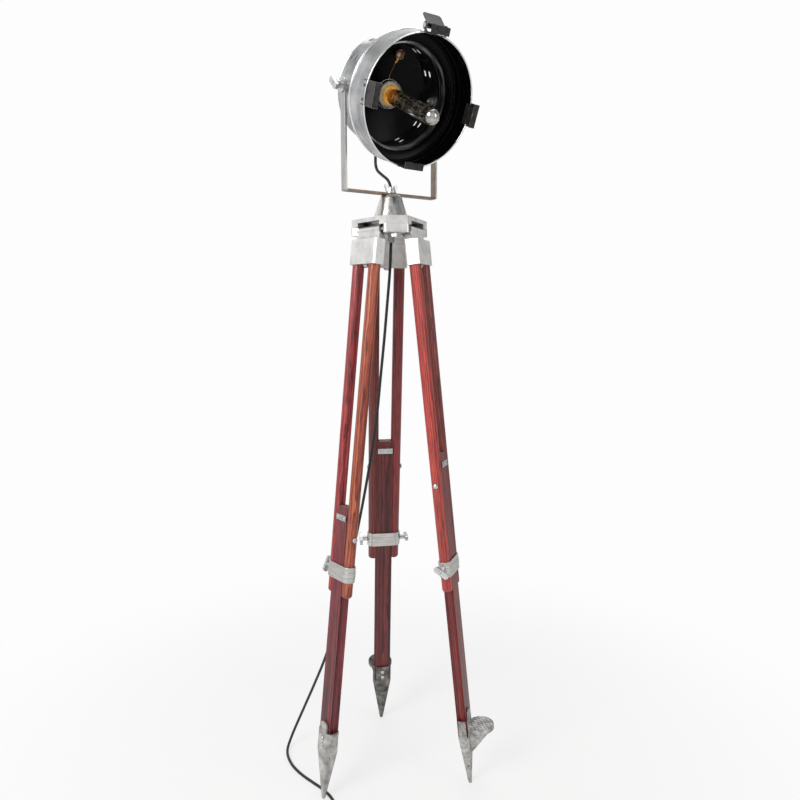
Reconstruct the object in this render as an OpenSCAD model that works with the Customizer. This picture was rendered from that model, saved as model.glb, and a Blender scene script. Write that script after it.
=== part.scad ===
// Tripod spotlight floor lamp.
// Z is up, the origin is on the floor under the middle of the tripod, and the lamp
// faces -Y, turned a little towards +X. All sizes are millimetres.

/* [Tripod] */
// Height of the leg hinge pins above the floor
hinge_z = 1174; // [1100:1:1250]
// Distance from the middle of the tripod to a hinge pin
hinge_r = 50; // [48:1:54]
// Radius of the circle that the three shoe tips stand on
foot_r = 183; // [150:1:260]
// Direction of the rear leg, counter-clockwise from +X
rear_azimuth = 99; // [95:1:103]
// Radial width of a chamfer-edged shoulder casting
shoulder_depth = 28; // [28:1:32]
// Width of a shoulder casting across the leg
shoulder_width = 84; // [84:1:90]

/* [Wooden legs] */
// Diameter of an upper pole at the shoulder
pole_top_d = 24; // [23:0.5:25]
// Diameter of an upper pole at its lower end
pole_end_d = 22; // [21:0.5:22]
// Half the distance between the two pole centres at the shoulder
pole_half_gap_top = 27; // [26:0.5:27]
// Half the distance between the two pole centres at the band
pole_half_gap_band = 24.5; // [24:0.5:25]
// Width of the sliding lower bar across the leg
bar_width = 37; // [35:0.5:38]
// Thickness of the sliding lower bar
bar_thick = 22; // [20:0.5:22]
// Distance down the leg from hinge to band
band_drop = 694; // [660:1:720]
// Height of a band
band_height = 32; // [26:1:34]

/* [Head and yoke] */
// Distance from the axis to the flat corner faces of the head plate
corner_r = 78; // [74:1:82]
// Base diameter of the cone on the head
cone_base_d = 72; // [66:1:80]
// Top diameter of the cone
cone_top_d = 40; // [36:1:44]
// Height of the cone
cone_h = 48; // [44:1:52]
// Width over the outside of the yoke arms
yoke_width = 218; // [216:1:226]
// Width of the flat yoke bar
yoke_bar_w = 18; // [16:1:22]
// Thickness of the flat yoke bar
yoke_bar_t = 4; // [3.5:0.5:4.5]
// Height of the tilt axis above the floor
pivot_z = 1443; // [1436:1:1450]
// Turn of the yoke towards +X
yaw = 33; // [20:1:40]

/* [Spotlight] */
// Downward tilt of the can at rest
can_tilt = 22; // [12:1:24]
// Outer radius of the front drum
front_r = 119; // [117:1:120]
// Outer radius of the rear drum
rear_r = 100; // [96:0.5:100]
// Distance from the tilt axis forward to the rim
rim_l = 111; // [108:1:114]
// Distance from the tilt axis forward to the flange between the drums
step_l = 47; // [46:1:48]
// Distance from the tilt axis back to the back edge of the rear drum
back_l = 34; // [30:1:40]
// Diameter of the tubular bulb
bulb_d = 31; // [28:1:33]
// Length of the bulb's glass
bulb_len = 172; // [150:1:176]

/* [Cord] */
// Diameter of the mains cord
cord_d = 6; // [5:0.5:7]

/* [Hidden] */

$fn = 64;
running_gap = 0.05;      // radial gap of a pin that turns in its hole
touch_gap = 0.3;         // gap between bodies that move past each other

// ---- colours
cast_silver = [0.72, 0.72, 0.71];
zinc = [0.80, 0.80, 0.80];
stained_wood = [0.50, 0.14, 0.10];
raw_iron = [0.45, 0.45, 0.44];
black_paint = [0.03, 0.03, 0.03];
brass = [0.80, 0.60, 0.25];
ceramic = [0.90, 0.88, 0.84];
glass = [0.85, 0.88, 0.90, 0.4];
cord_black = [0.06, 0.06, 0.06];

// ---- leg geometry
fl_azimuth = rear_azimuth + 120;
right_azimuth = rear_azimuth - 120;
leg_off = 5;                                     // leg's middle line outside its hinge pin
leg_reach = foot_r - hinge_r;
leg_len = sqrt(leg_reach * leg_reach + hinge_z * hinge_z - leg_off * leg_off);
leg_lean = atan(leg_reach / hinge_z) - atan(leg_off / leg_len);
pin_r = 4;
barrel_r = 8;
barrel_half = 34.5;
slot_half = 35.5;
shoulder_top = 20;                               // distances down the leg from its pin
shoulder_end = 70;
pole_in = 30;
pole_end = band_drop + 44;
splay = atan((pole_half_gap_top - pole_half_gap_band) / (band_drop - 45));
bar_top_long = 456;                              // right and rear legs
bar_top_short = 560;                             // front left leg is pushed further in
shoe_top = 1032;
bar_end = shoe_top + 36;
groove_r = 11.9;
tread_r = 29;
tread_t = 8;
tread_drop = 12;
tread_x = 35;                                    // middle of the foot plate outside the leg
screw_r = 3;
stop_drop = 62;                                  // stop bolt below the top of the bar

// ---- head geometry
plate_t = 8;
lug_h = 16;
block_h = 16;
split_z = hinge_z + barrel_r;                    // joint between lug and clamp block
plate_top_z = split_z + lug_h;
plate_base_z = plate_top_z - plate_t;
block_base_z = split_z - block_h;
corner_half = 21.5;
corner_bolt_r = 62;
stud_r = 7;
stud_bore_r = 4;
cone_top_z = plate_top_z + cone_h;
yoke_top_z = cone_top_z + yoke_bar_t;
stud_base_z = block_base_z - 14;
stud_top_z = yoke_top_z + 12;

// ---- yoke and can geometry
arm_outer = yoke_width / 2;
arm_inner = arm_outer - yoke_bar_t;
pivot_r = 4;
washer_r = 14;
wing_reach = 17;
sheet = 1.5;
front_in = front_r - sheet;
rear_in = rear_r - sheet;
bead_l = 54;
cap_depth = 20;
clip_width = 43;
clip_reach = 28;
clip_lip = 13;
clip_angles = [180, 269, 358];
latch_angle = 90;
latch_up = 9;                                    // latch pin outside the front drum
latch_l = rim_l + 1;                             // latch pin in front of the rim
latch_half = 20;
latch_ear = 2.5;
vent_angles = [30, 60, 90, 120, 150, 210, 240, 300, 330];
vent_rows = [-23, -6];
bulb_droop = 5;
holder_back_l = -30;

// ---- cord routes, from end to end
gland_l = -14;
coil_x = -150;
coil_y = -184;
coil_in_r = 24;
coil_out_r = 42;
coil_h = 12;
lamp_route = [
    [-32.5, 50, 1333], [-33, 51.5, 1321.5], [-31.5, 48.5, 1310], [-27.5, 42, 1301],
    [-20.5, 32, 1294], [-15, 22.5, 1287.5], [-8, 12, 1281], [-3, 4.5, 1272],
    [-0.5, 0.5, 1262], [0, 0, 1252], [0, 0, 1238]
];
drop_route = [
    [0, 0, 1238], [0, 0, 1200], [0, 0, 1150], [-2, 1, 1100], [-7, 3, 1040], [-14, 5, 960],
    [-22, 8, 880], [-30, 11, 800], [-39, 14, 735], [-55, 19, 639], [-76, 27, 531],
    [-94, 33, 450], [-110, 38, 372], [-131, 45, 295], [-154, 53, 222], [-178, 61, 160],
    [-203, 67, 100], [-219, 70.5, 62], [-231, 69, 34], [-239, 61, 15], [-242.5, 46, 5.5],
    [-240, 27, 3], [-233, 7, 3], [-222, -14, 3], [-207, -34, 3], [-189, -53, 3],
    [-168, -72, 3], [-147, -91, 3], [-128, -114, 3], [-116, -138, 3], [-111.5, -161, 3],
    [-111, -184, 3]
];
plug_route = [
    [-111, -184, 9], [-111, -197, 8.5], [-110.5, -209, 6.5], [-108, -221, 4.5],
    [-102, -232, 3.5], [-93, -241, 3.5], [-82, -246.5, 5], [-70, -248, 7]
];
plug_x = -70;
plug_y = -248;

// ---- frames
module leg_frame(azimuth)
    rotate([0, 0, azimuth]) translate([hinge_r, 0, hinge_z]) rotate([0, -leg_lean, 0])
        children();

module each_leg()
    for (azimuth = [fl_azimuth, right_azimuth, rear_azimuth]) rotate([0, 0, azimuth])
        children();

module yoke_frame() rotate([0, 0, yaw]) children();

// X along the tilt axis, Y up, Z out of the mouth, origin on the tilt axis
module can_frame()
    translate([0, 0, pivot_z]) rotate([0, 0, yaw]) rotate([90 + can_tilt, 0, 0]) children();

module bulb_frame() can_frame() translate([0, 0, holder_back_l]) rotate([bulb_droop, 0, 0])
    children();

// ---- shared shapes
module tube(outer, inner, height) difference() {
    cylinder(r = outer, h = height);
    translate([0, 0, -1]) cylinder(r = inner, h = height + 2);
}

// a cylinder along +Y from y0 to y1
module rod_y(radius, y0, y1)
    translate([0, y0, 0]) rotate([-90, 0, 0]) cylinder(r = radius, h = y1 - y0);

// a cylinder along +X from x0 to x1
module rod_x(radius, x0, x1)
    translate([x0, 0, 0]) rotate([0, 90, 0]) cylinder(r = radius, h = x1 - x0);

module stadium(length, width) {
    square([length - width, width], center = true);
    for (side = [-1, 1]) translate([side * (length - width) / 2, 0]) circle(d = width);
}

module rounded_rect(length, width, radius) {
    square([length - 2 * radius, width], center = true);
    square([length, width - 2 * radius], center = true);
    for (x = [-1, 1], y = [-1, 1])
        translate([x * (length / 2 - radius), y * (width / 2 - radius)]) circle(r = radius);
}

// a low round-headed bolt, base at z = 0, pointing up
module dome(radius, height) rotate_extrude()
    intersection() {
        union() {
            square([radius, height * 0.4]);
            translate([0, height * 0.4]) arc_cap(radius, height * 0.6);
        }
        square([radius, height]);
    }

// part of a circle that spans radius and rises height, as a flat shape
module arc_cap(radius, height) {
    arc_r = (radius * radius + height * height) / (2 * height);
    intersection() {
        translate([0, height - arc_r]) circle(r = arc_r, $fn = 96);
        square([radius, height]);
    }
}

function ring_frame(tangent) =
    let (side = cross(tangent, abs(tangent[2]) > 0.8 * norm(tangent) ? [0, 1, 0] : [0, 0, 1]))
    let (across = side / norm(side), up = cross(across, tangent) / norm(tangent))
    [across, up];

function route_tangent(route, i) =
    let (last = len(route) - 1)
    route[min(i + 1, last)] - route[max(i - 1, 0)];

// a cord's tube, one ring of points at each point of its route
module cord_tube(route, diameter, sides = 8) {
    count = len(route);
    points = [for (i = [0 : count - 1])
        let (frame = ring_frame(route_tangent(route, i)))
        for (k = [0 : sides - 1])
            route[i] + diameter / 2 * (cos(k * 360 / sides) * frame[0]
                + sin(k * 360 / sides) * frame[1])];
    walls = [for (i = [0 : count - 2], k = [0 : sides - 1], half = [0, 1])
        let (a = i * sides + k, b = i * sides + (k + 1) % sides)
        half == 0 ? [a, b, a + sides] : [b, b + sides, a + sides]];
    caps = [[for (k = [sides - 1 : -1 : 0]) k], [for (k = [0 : sides - 1]) (count - 1) * sides + k]];
    polyhedron(points, concat(walls, caps), convexity = 8);
}

// ---- head of the tripod
module head_outline()
    polygon([for (i = [0 : 2], side = [-1, 1])
        let (a = right_azimuth + 60 + 120 * i)
        [corner_r * cos(a) - side * corner_half * sin(a),
         corner_r * sin(a) + side * corner_half * cos(a)]]);

module hinge_slots(base_z, height)
    each_leg() translate([36, -slot_half, base_z]) cube([60, 2 * slot_half, height]);

module corner_places()
    for (i = [0 : 2]) rotate([0, 0, right_azimuth + 60 + 120 * i]) children();

module head_casting() color(cast_silver) difference() {
    union() {
        translate([0, 0, plate_base_z]) linear_extrude(plate_t) head_outline();
        difference() {
            translate([0, 0, split_z]) linear_extrude(lug_h - plate_t + 1) head_outline();
            hinge_slots(split_z - 1, lug_h - plate_t + 1);
            translate([0, 0, split_z - 1]) cylinder(r = 40, h = lug_h - plate_t + 1);
        }
        translate([0, 0, split_z - 4]) cylinder(r = 17, h = 14);
    }
    translate([0, 0, split_z - 20]) cylinder(r = stud_r + running_gap, h = 60);
    corner_places() translate([corner_bolt_r, 0, split_z - 1])
        cylinder(r = 4 + running_gap, h = lug_h - 4);
}

module mount_cone() color(cast_silver) translate([0, 0, plate_top_z]) difference() {
    rotate_extrude() polygon([
        [0, 0], [cone_base_d / 2, 0], [cone_base_d / 2, 2], [cone_base_d / 2 - 5.4, cone_h * 0.38],
        [cone_top_d / 2 + 4.2, cone_h * 0.78], [cone_top_d / 2 + 1.8, cone_h * 0.93],
        [cone_top_d / 2 - 1.5, cone_h], [0, cone_h]
    ]);
    translate([0, 0, -1]) cylinder(r1 = cone_base_d / 2 - 6, r2 = cone_top_d / 2 - 4, h = cone_h - 7);
    cylinder(r = stud_r + running_gap, h = cone_h + 1);
}

module centre_stud() color(zinc) {
    translate([0, 0, stud_base_z]) tube(stud_r, stud_bore_r, stud_top_z - stud_base_z);
    translate([0, 0, split_z - 4 - 7]) difference() {
        cylinder(r = 12, h = 7, $fn = 6);
        translate([0, 0, -1]) cylinder(r = stud_r, h = 9);
    }
}

module clamp_blocks() color(cast_silver) difference() {
    corner_places() translate([0, 0, block_base_z]) difference() {
        translate([(corner_r + 46) / 2 + 0.5, 0, 0]) linear_extrude(block_h)
            rounded_rect(corner_r - 45, 50, 5);
        translate([corner_bolt_r, 0, -1]) cylinder(r = 4 + running_gap, h = block_h + 2);
    }
    hinge_slots(block_base_z - 1, block_h + 2);
    each_leg() translate([hinge_r, 0, hinge_z]) rod_y(pin_r + running_gap, -47, 47);
}

module head_nuts() color(zinc) corner_places() translate([corner_bolt_r, 0, 0]) {
    translate([0, 0, block_base_z - 9]) cylinder(r = 4, h = block_h + 17);
    translate([0, 0, block_base_z - 8]) difference() {
        cylinder(r = 9.5, h = 8, $fn = 6);
        translate([0, 0, -1]) cylinder(r = 4, h = 10);
    }
}

module hinge_pins() color(zinc) each_leg() translate([hinge_r, 0, hinge_z]) rod_y(pin_r, -46, 46);

// ---- one leg, in its own frame: hinge pin at the origin, leg down -Z, outside on +X
module shoulder_shape() difference() {
    union() {
        rod_y(barrel_r, -barrel_half, barrel_half);
        translate([-7, 0, 0]) rotate([90, 0, 90]) linear_extrude(14) polygon([
            [-barrel_half, 0], [-barrel_half, -10], [-shoulder_width / 2 + 1, -shoulder_top - 3],
            [shoulder_width / 2 - 1, -shoulder_top - 3], [barrel_half, -10], [barrel_half, 0]
        ]);
        translate([leg_off, 0, -shoulder_end]) linear_extrude(shoulder_end - shoulder_top)
            shoulder_plan();
    }
    rod_y(pin_r + running_gap, -50, 50);
    for (side = [-1, 1]) pole_place(side) translate([0, 0, -shoulder_end - 2])
        cylinder(r = pole_top_d / 2, h = shoulder_end - pole_in + 2);
    translate([leg_off, 0, -shoulder_end - 1]) cylinder(r = screw_r, h = 24);
}

module shoulder_plan() {
    x = shoulder_depth / 2;
    y = shoulder_width / 2;
    cut = 4;
    polygon([[x - cut, -y], [x, cut - y], [x, y - cut], [x - cut, y],
             [cut - x, y], [-x, y - cut], [-x, cut - y], [cut - x, -y]]);
}

// the tilted middle line of one pole, with its origin level with the hinge pin
module pole_place(side)
    translate([leg_off, side * (pole_half_gap_top + 45 * tan(splay)), 0])
        rotate([-side * splay, 0, 0]) children();

module pole_shape(side) difference() {
    pole_place(side) {
        translate([0, 0, -pole_end]) cylinder(d1 = pole_end_d, d2 = pole_top_d,
            h = pole_end - shoulder_end);
        translate([0, 0, -shoulder_end]) cylinder(d = pole_top_d, h = shoulder_end - pole_in);
        translate([0, 0, -pole_end - 5]) cylinder(d1 = pole_end_d - 6, d2 = pole_end_d, h = 5);
    }
    for (end = [-1, 1]) translate([leg_off, 0, -band_drop])
        rod_y(screw_r + running_gap, end < 0 ? -50 : 0, end < 0 ? 0 : 50);
}

module poles_shape() color(stained_wood) for (side = [-1, 1]) pole_shape(side);

module band_shape(screw_ends) color(cast_silver) translate([leg_off, 0, -band_drop]) difference() {
    union() {
        translate([0, 0, -band_height / 2]) linear_extrude(band_height)
            rotate(90) stadium(2 * pole_half_gap_band + pole_end_d + 5.4, pole_end_d + 5.4);
        translate([0, 0, -band_height / 6]) linear_extrude(band_height / 3)
            rotate(90) stadium(2 * pole_half_gap_band + pole_end_d + 6.6, pole_end_d + 6.6);
    }
    translate([0, 0, -band_height]) linear_extrude(2 * band_height)
        rotate(90) stadium(2 * pole_half_gap_band + pole_end_d + 0.6, pole_end_d + 0.6);
    for (end = screw_ends)
        rod_y(screw_r + running_gap, end < 0 ? -60 : 0, end < 0 ? 0 : 60);
}

// domed stop bolts on the outer side of the poles and the bolt under the shoulder
module dome_bolts_shape(bar_top) color(zinc) {
    translate([leg_off, 0, -shoulder_end]) rotate([180, 0, 0]) dome(7, 6);
    translate([leg_off, 0, -shoulder_end]) cylinder(r = screw_r, h = 22);
    drop = bar_top + stop_drop;
    half = pole_half_gap_band + (band_drop - drop) * tan(splay);
    for (side = [-1, 1]) translate([leg_off, 0, -drop]) rotate([0, 0, side * 90]) {
        translate([half + 11.4, 0, 0]) rotate([0, 90, 0]) dome(5.5, 3.6);
        rod_x(2.4, half - 8, half + 11.6);
    }
}

// thumb screw that presses on the bar through the band and one pole
module thumb_screw_shape(end, turn) color(cast_silver)
    translate([leg_off, 0, -band_drop]) rotate([0, 0, end * 90]) {
        band_face = pole_half_gap_band + pole_end_d / 2 + 3.6;
        rod_x(screw_r, groove_tip(), band_face + 2);
        rod_x(5.5, band_face, band_face + 11);
        translate([band_face + 11, 0, 0]) rotate([turn, 0, 0]) thumb_wing();
    }

function groove_tip() = pole_half_gap_band - groove_r + 0.6;

// flat oval wing with a dimple, across the end of a screw that points along +X
module thumb_wing() difference() {
    rotate([90, 0, 90]) linear_extrude(6) rotate(90) stadium(2 * wing_reach, 12);
    rod_x(2.2, 4.8, 7);
}

module lower_bar_shape(bar_top) color(stained_wood) translate([leg_off, 0, 0]) difference() {
    translate([-bar_thick / 2, -bar_width / 2, -bar_end])
        cube([bar_thick, bar_width, bar_end - bar_top]);
    for (side = [-1, 1]) pole_groove(side, bar_top);
    for (y = [-11, 11], x = [-12, 5]) translate([0, y, -bar_top - 22]) rod_x(1.5, x, x + 7);
    for (z = [-shoe_top - 14, -shoe_top - 28]) translate([0, 0, z]) rod_x(2, -12, 12);
}

// round groove along the bar's edge; it stays clear of the pole over the whole travel
module pole_groove(side, bar_top)
    translate([0, side * (pole_half_gap_band + 0.2), -bar_end - 1])
        cylinder(r = groove_r, h = bar_end - bar_top + 2);

// plates with two screws across the bar near its top, on both faces
module clip_plates_shape(bar_top) color(zinc) translate([leg_off, 0, -bar_top - 22])
    for (side = [0, 180]) rotate([0, 0, side]) translate([bar_thick / 2, 0, 0]) {
        rotate([90, 0, 90]) linear_extrude(1.8) difference() {
            square([33, 12], center = true);
            for (y = [-11, 11]) translate([y, 0]) circle(r = 1.5, $fn = 24);
        }
        for (y = [-11, 11]) translate([0, y, 0]) {
            rod_x(1.5, -5, 1.8);
            translate([1.8, 0, 0]) rotate([0, 90, 0]) dome(3, 1.6);
        }
    }

// cast shoe: oval socket that narrows to a blunt point, ground flat where it stands
module shoe_shape(across, deep, tread) color(raw_iron) difference() {
    union() {
        hull() {
            translate([leg_off, 0, -shoe_top - 44]) linear_extrude(44)
                rotate(90) stadium(across, deep, $fn = 32);
            translate([leg_off, 0, -leg_len + 3]) sphere(r = 4, $fn = 24);
        }
        translate([leg_off, 0, -shoe_top]) rotate([90, 0, 90]) linear_extrude(deep / 2) {
            translate([-11, -2]) square([22, 12]);
            translate([0, 10]) circle(r = 11);
        }
        if (tread) tread_shape();
    }
    translate([leg_off - bar_thick / 2 - 0.1, -bar_width / 2 - 0.1, -bar_end - 0.2])
        cube([bar_thick + 0.2, bar_width + 0.2, 80]);
    for (z = [-shoe_top - 14, -shoe_top - 28]) translate([leg_off, 0, z]) rod_x(2, -20, 20);
    translate([leg_off, 0, -leg_len]) rotate([0, leg_lean, 0]) translate([-20, -20, -20])
        cube([40, 40, 20]);
}

// round foot plate on the outside of a shoe, with a ribbed top and a web under it
module tread_shape() translate([leg_off + tread_x, 0, -shoe_top - tread_drop]) {
    translate([0, 0, -tread_t]) cylinder(r = tread_r, h = tread_t);
    intersection() {
        cylinder(r = tread_r - 1.5, h = 1.6);
        for (i = [-4 : 4], turn = [35, 125]) rotate([0, 0, turn])
            translate([-40, i * 7 - 1.4, -1]) cube([80, 2.8, 2.6]);
    }
    hull() {
        translate([0, 0, -tread_t]) cylinder(r = 25, h = 1, $fn = 32);
        translate([8 - tread_x, 0, -tread_t - 58]) sphere(r = 3, $fn = 16);
    }
}

module shoe_rivets_shape(deep, heads) color(zinc) for (z = [-shoe_top - 14, -shoe_top - 28])
    translate([leg_off, 0, z]) {
        rod_x(2, -deep / 2 - 0.5, deep / 2);
        for (side = heads) rotate([0, 0, side > 0 ? 0 : 180])
            translate([deep / 2, 0, 0]) rotate([0, 90, 0]) dome(4.4, 3);
    }

// ---- yoke and what fastens it
module yoke() color(cast_silver) difference() {
    yoke_frame() {
        translate([0, yoke_bar_w / 2, 0]) rotate([90, 0, 0]) linear_extrude(yoke_bar_w) yoke_bend();
        for (side = [-1, 1]) translate([side > 0 ? arm_inner : -arm_outer, 0, 0])
            rotate([90, 0, 90]) linear_extrude(yoke_bar_t) {
                translate([-yoke_bar_w / 2, yoke_top_z + 10])
                    square([yoke_bar_w, pivot_z - yoke_top_z - 10]);
                translate([0, pivot_z]) circle(r = yoke_bar_w / 2 + 1);
            }
    }
    yoke_frame() translate([0, 0, pivot_z]) rod_x(pivot_r + running_gap, -150, 150);
    translate([0, 0, cone_top_z - 1]) cylinder(r = stud_r + running_gap, h = 20);
}

// side view of the yoke's foot with its two bends
module yoke_bend() difference() {
    bend = 3;
    translate([-arm_outer, cone_top_z]) {
        translate([bend, 0]) square([2 * arm_outer - 2 * bend, 20]);
        translate([0, bend]) square([2 * arm_outer, 20 - bend]);
        for (x = [bend, 2 * arm_outer - bend]) translate([x, bend]) circle(r = bend);
    }
    translate([-arm_inner, yoke_top_z]) square([2 * arm_inner, 40]);
}

module wing_nut() color(zinc) rotate([0, 0, yaw]) translate([0, 0, yoke_top_z + touch_gap])
    difference() {
        union() {
            cylinder(r = 11, h = 2.5);
            cylinder(r1 = 10, r2 = 8.6, h = 8);
            translate([0, 2, 0]) rotate([90, 0, 0]) linear_extrude(4) for (side = [-1, 1])
                union() {
                    polygon([[side * 6, 1], [side * 10, 1], [side * 15, 14], [side * 9, 13]]);
                    translate([side * 12, 14]) circle(r = 3.1);
                }
        }
        translate([0, 0, -1]) cylinder(r = stud_r + running_gap, h = 20);
    }

// bolts through drum and yoke arm, with spacer and nut; they turn with the can
module pivot_bolts() color(zinc) can_frame() for (side = [-1, 1]) rotate([0, 0, side > 0 ? 0 : 180]) {
    rod_x(pivot_r, rear_in - 12, arm_outer + 17);
    difference() {
        rod_x(10, rear_r - 0.6, arm_inner - touch_gap);
        rod_x(pivot_r, 80, 120);
    }
    difference() {
        union() {
            translate([rear_in - 9.5, 0, 0]) rotate([0, 90, 0]) cylinder(r = 7.5, h = 6.5, $fn = 6);
            rod_x(11, rear_in - 3.4, rear_in - 1.4);
        }
        rod_x(pivot_r, 80, 120);
    }
}

module knob_shape(side) color(zinc) can_frame() rotate([0, 0, side > 0 ? 0 : 180]) difference() {
    union() {
        rod_x(washer_r, arm_outer + touch_gap, arm_outer + touch_gap + 2);
        rod_x(7, arm_outer + touch_gap + 2, arm_outer + 15);
        translate([arm_outer + 15, 0, 0]) rotate([side * can_tilt, 0, 0]) thumb_wing();
    }
    rod_x(pivot_r + running_gap, arm_outer - 1, arm_outer + 18);
}

// ---- can
module front_drum() color(cast_silver) can_frame() difference() {
    rotate_extrude($fn = 128) union() {
        polygon([
            [rear_in + 0.2, step_l - sheet], [front_r, step_l - sheet], [front_r, rim_l],
            [front_in, rim_l], [front_in, step_l], [rear_in + 0.2, step_l]
        ]);
        translate([front_r - 0.2, bead_l]) circle(r = 2.2, $fn = 24);
        translate([front_r - 0.5, rim_l - 0.6]) circle(r = 1.4, $fn = 24);
    }
    for (a = concat(clip_angles, [latch_angle])) rotate([0, 0, a]) for (y = [-12, 12])
        translate([0, y, rim_l - 7]) rod_x(1.6, front_r - 8, front_r + 4);
}

module rear_drum() color(cast_silver) can_frame() difference() {
    rotate_extrude($fn = 128) union() {
        polygon([
            [rear_in, -back_l + 1], [rear_r, -back_l + 1], [rear_r, step_l - sheet],
            [rear_in, step_l - sheet]
        ]);
        translate([rear_r - 0.3, -back_l + 2]) circle(r = 1.3, $fn = 24);
    }
    for (a = vent_angles, l = vent_rows) rotate([0, 0, a]) translate([0, 0, l])
        rotate([0, 90, 0]) linear_extrude(130) rotate(90) stadium(11, 5);
    for (side = [0, 180]) rotate([0, 0, side]) rod_x(pivot_r + running_gap, 80, 120);
    translate([0, 0, gland_l]) rotate([90, 0, 0]) cylinder(r = 5, h = 120);
}

module rear_cap() color(cast_silver) can_frame() rotate_extrude($fn = 128) {
    cap_arc = (rear_r * rear_r + cap_depth * cap_depth) / (2 * cap_depth);
    intersection() {
        translate([0, -back_l + 0.8 - cap_depth + cap_arc]) difference() {
            circle(r = cap_arc, $fn = 256);
            circle(r = cap_arc - sheet, $fn = 256);
        }
        translate([0, -back_l - cap_depth - 1]) square([rear_r - 0.6, cap_depth + 1.8]);
    }
}

// stepped spun ring that closes the gap between the drums
module step_ring() color(zinc) can_frame() rotate_extrude($fn = 128) polygon([
    [94, 28], [rear_in - 0.1, 28], [rear_in - 0.1, 49], [96.4, 49], [96.4, 46.6], [95.6, 46.6],
    [95.6, 43], [95, 43], [95, 39], [94.6, 39], [94.6, 34], [94, 34]
]);

// angle clips on the rim that hold a colour frame
module clip_shape() {
    base = front_in - sheet - 0.1;
    difference() {
        union() {
            translate([base, -clip_width / 2, rim_l - 14]) cube([sheet, clip_width, clip_reach + 14]);
            translate([base + sheet - clip_lip, -clip_width / 2, rim_l + clip_reach - sheet])
                cube([clip_lip, clip_width, sheet]);
        }
        clip_holes();
    }
    clip_rivets();
}

module clip_holes() for (y = [-12, 12]) translate([0, y, rim_l - 7])
    rod_x(1.6, front_in - 6, front_in + 6);

module clip_rivets() for (y = [-12, 12]) translate([0, y, rim_l - 7]) {
    rod_x(1.6, front_in - sheet - 0.1, front_r);
    translate([front_r, 0, 0]) rotate([0, 90, 0]) dome(3, 1.5);
}

module frame_clips() color(black_paint) can_frame() for (a = clip_angles) rotate([0, 0, a])
    clip_shape();

// plate inside the rim with two ears that carry the latch
module latch_base() color(black_paint) can_frame() rotate([0, 0, latch_angle]) {
    base = front_in - sheet - 0.1;
    width = 2 * (latch_half + 0.6 + latch_ear);
    difference() {
        translate([base, -width / 2, rim_l - 14]) cube([sheet, width, 21]);
        clip_holes();
    }
    clip_rivets();
    for (y = [-width / 2, width / 2 - latch_ear]) difference() {
        union() {
            translate([base, y, rim_l + 1.2]) cube([front_r + latch_up - base, latch_ear, 5.8]);
            translate([front_r + latch_up, y + latch_ear, latch_l]) rotate([90, 0, 0])
                cylinder(r = 7, h = latch_ear);
        }
        translate([front_r + latch_up, 0, latch_l]) rod_y(2.5 + running_gap, -40, 40);
    }
}

module latch_pin() color(zinc) can_frame() rotate([0, 0, latch_angle])
    translate([front_r + latch_up, 0, latch_l]) {
        out = latch_half + latch_ear + 1;
        rod_y(2.5, -out, out);
        for (side = [-1, 1]) rotate([side * -90, 0, 0])
            translate([0, 0, out - 0.4]) cylinder(r = 4, h = 1.4);
    }

// hooked gate over the frame's edge, with a flap behind the pin to lift it by
module latch_lever() color(black_paint) can_frame() rotate([0, 0, latch_angle])
    translate([front_r + latch_up, 0, latch_l]) difference() {
        union() {
            rod_y(4.2, -latch_half, latch_half);
            translate([2.5, -latch_half, 1.2]) cube([sheet, 2 * latch_half, 17.8]);
            translate([2.5 + sheet - 14, -latch_half, 19 - sheet]) cube([14, 2 * latch_half, sheet]);
            rotate([0, 145, 0]) translate([-4, 0, 1.2]) rotate([90, 0, 90]) linear_extrude(sheet) {
                translate([0, 7]) square([2 * latch_half, 14], center = true);
                translate([0, 17]) rounded_rect(2 * latch_half, 24, 6);
            }
        }
        rod_y(2.5 + running_gap, -40, 40);
    }

// ---- lamp holder and bulb
module holder_bracket() color(black_paint) {
    can_frame() for (x = [-26, 22]) translate([x, -9, -back_l - cap_depth + 4.6])
        cube([4, 18, 21]);
    can_frame() translate([-26, -9, holder_back_l - 4.2]) difference() {
        cube([52, 18, 3]);
        translate([26, 9, -1]) cylinder(r = 5.05, h = 5);
    }
}

module lamp_holder() color(brass) bulb_frame() difference() {
    union() {
        cylinder(r = 5, h = 3);
        cylinder(r = 15, h = 8);
        translate([0, 0, 8]) cylinder(r1 = 15, r2 = 19, h = 12);
        translate([0, 0, 20]) cylinder(r = 19, h = 16);
    }
    translate([0, 0, 6]) cylinder(r = 13.4, h = 40);
    translate([0, 0, 24]) cylinder(r1 = 13.4, r2 = 17.6, h = 13);
}

module holder_ring() color(ceramic) bulb_frame() translate([0, 0, 21]) difference() {
    cylinder(r = 24, h = 7);
    translate([0, 0, -1]) cylinder(r = 19, h = 9);
}

module bulb_cap() color(brass) bulb_frame() {
    translate([0, 0, 10]) cylinder(r = 13.2, h = 22);
    translate([0, 0, 7]) cylinder(r1 = 5, r2 = 11, h = 3);
}

module bulb_glass() color(glass) bulb_frame() translate([0, 0, 32]) {
    r = bulb_d / 2;
    wall = 1;
    rotate_extrude() difference() {
        union() {
            polygon([[0, 0], [12.6, 0], [12.6, 4], [r, 14], [r, bulb_len - r], [0, bulb_len - r]]);
            intersection() {
                translate([0, bulb_len - r]) circle(r = r);
                translate([0, bulb_len - r]) square([r, r]);
            }
        }
        union() {
            polygon([[0, -1], [11.6, -1], [11.6, 4.4], [r - wall, 14.4], [r - wall, bulb_len - r],
                     [0, bulb_len - r]]);
            intersection() {
                translate([0, bulb_len - r]) circle(r = r - wall);
                translate([0, bulb_len - r - 1]) square([r, r + 1]);
            }
        }
    }
}

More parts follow.
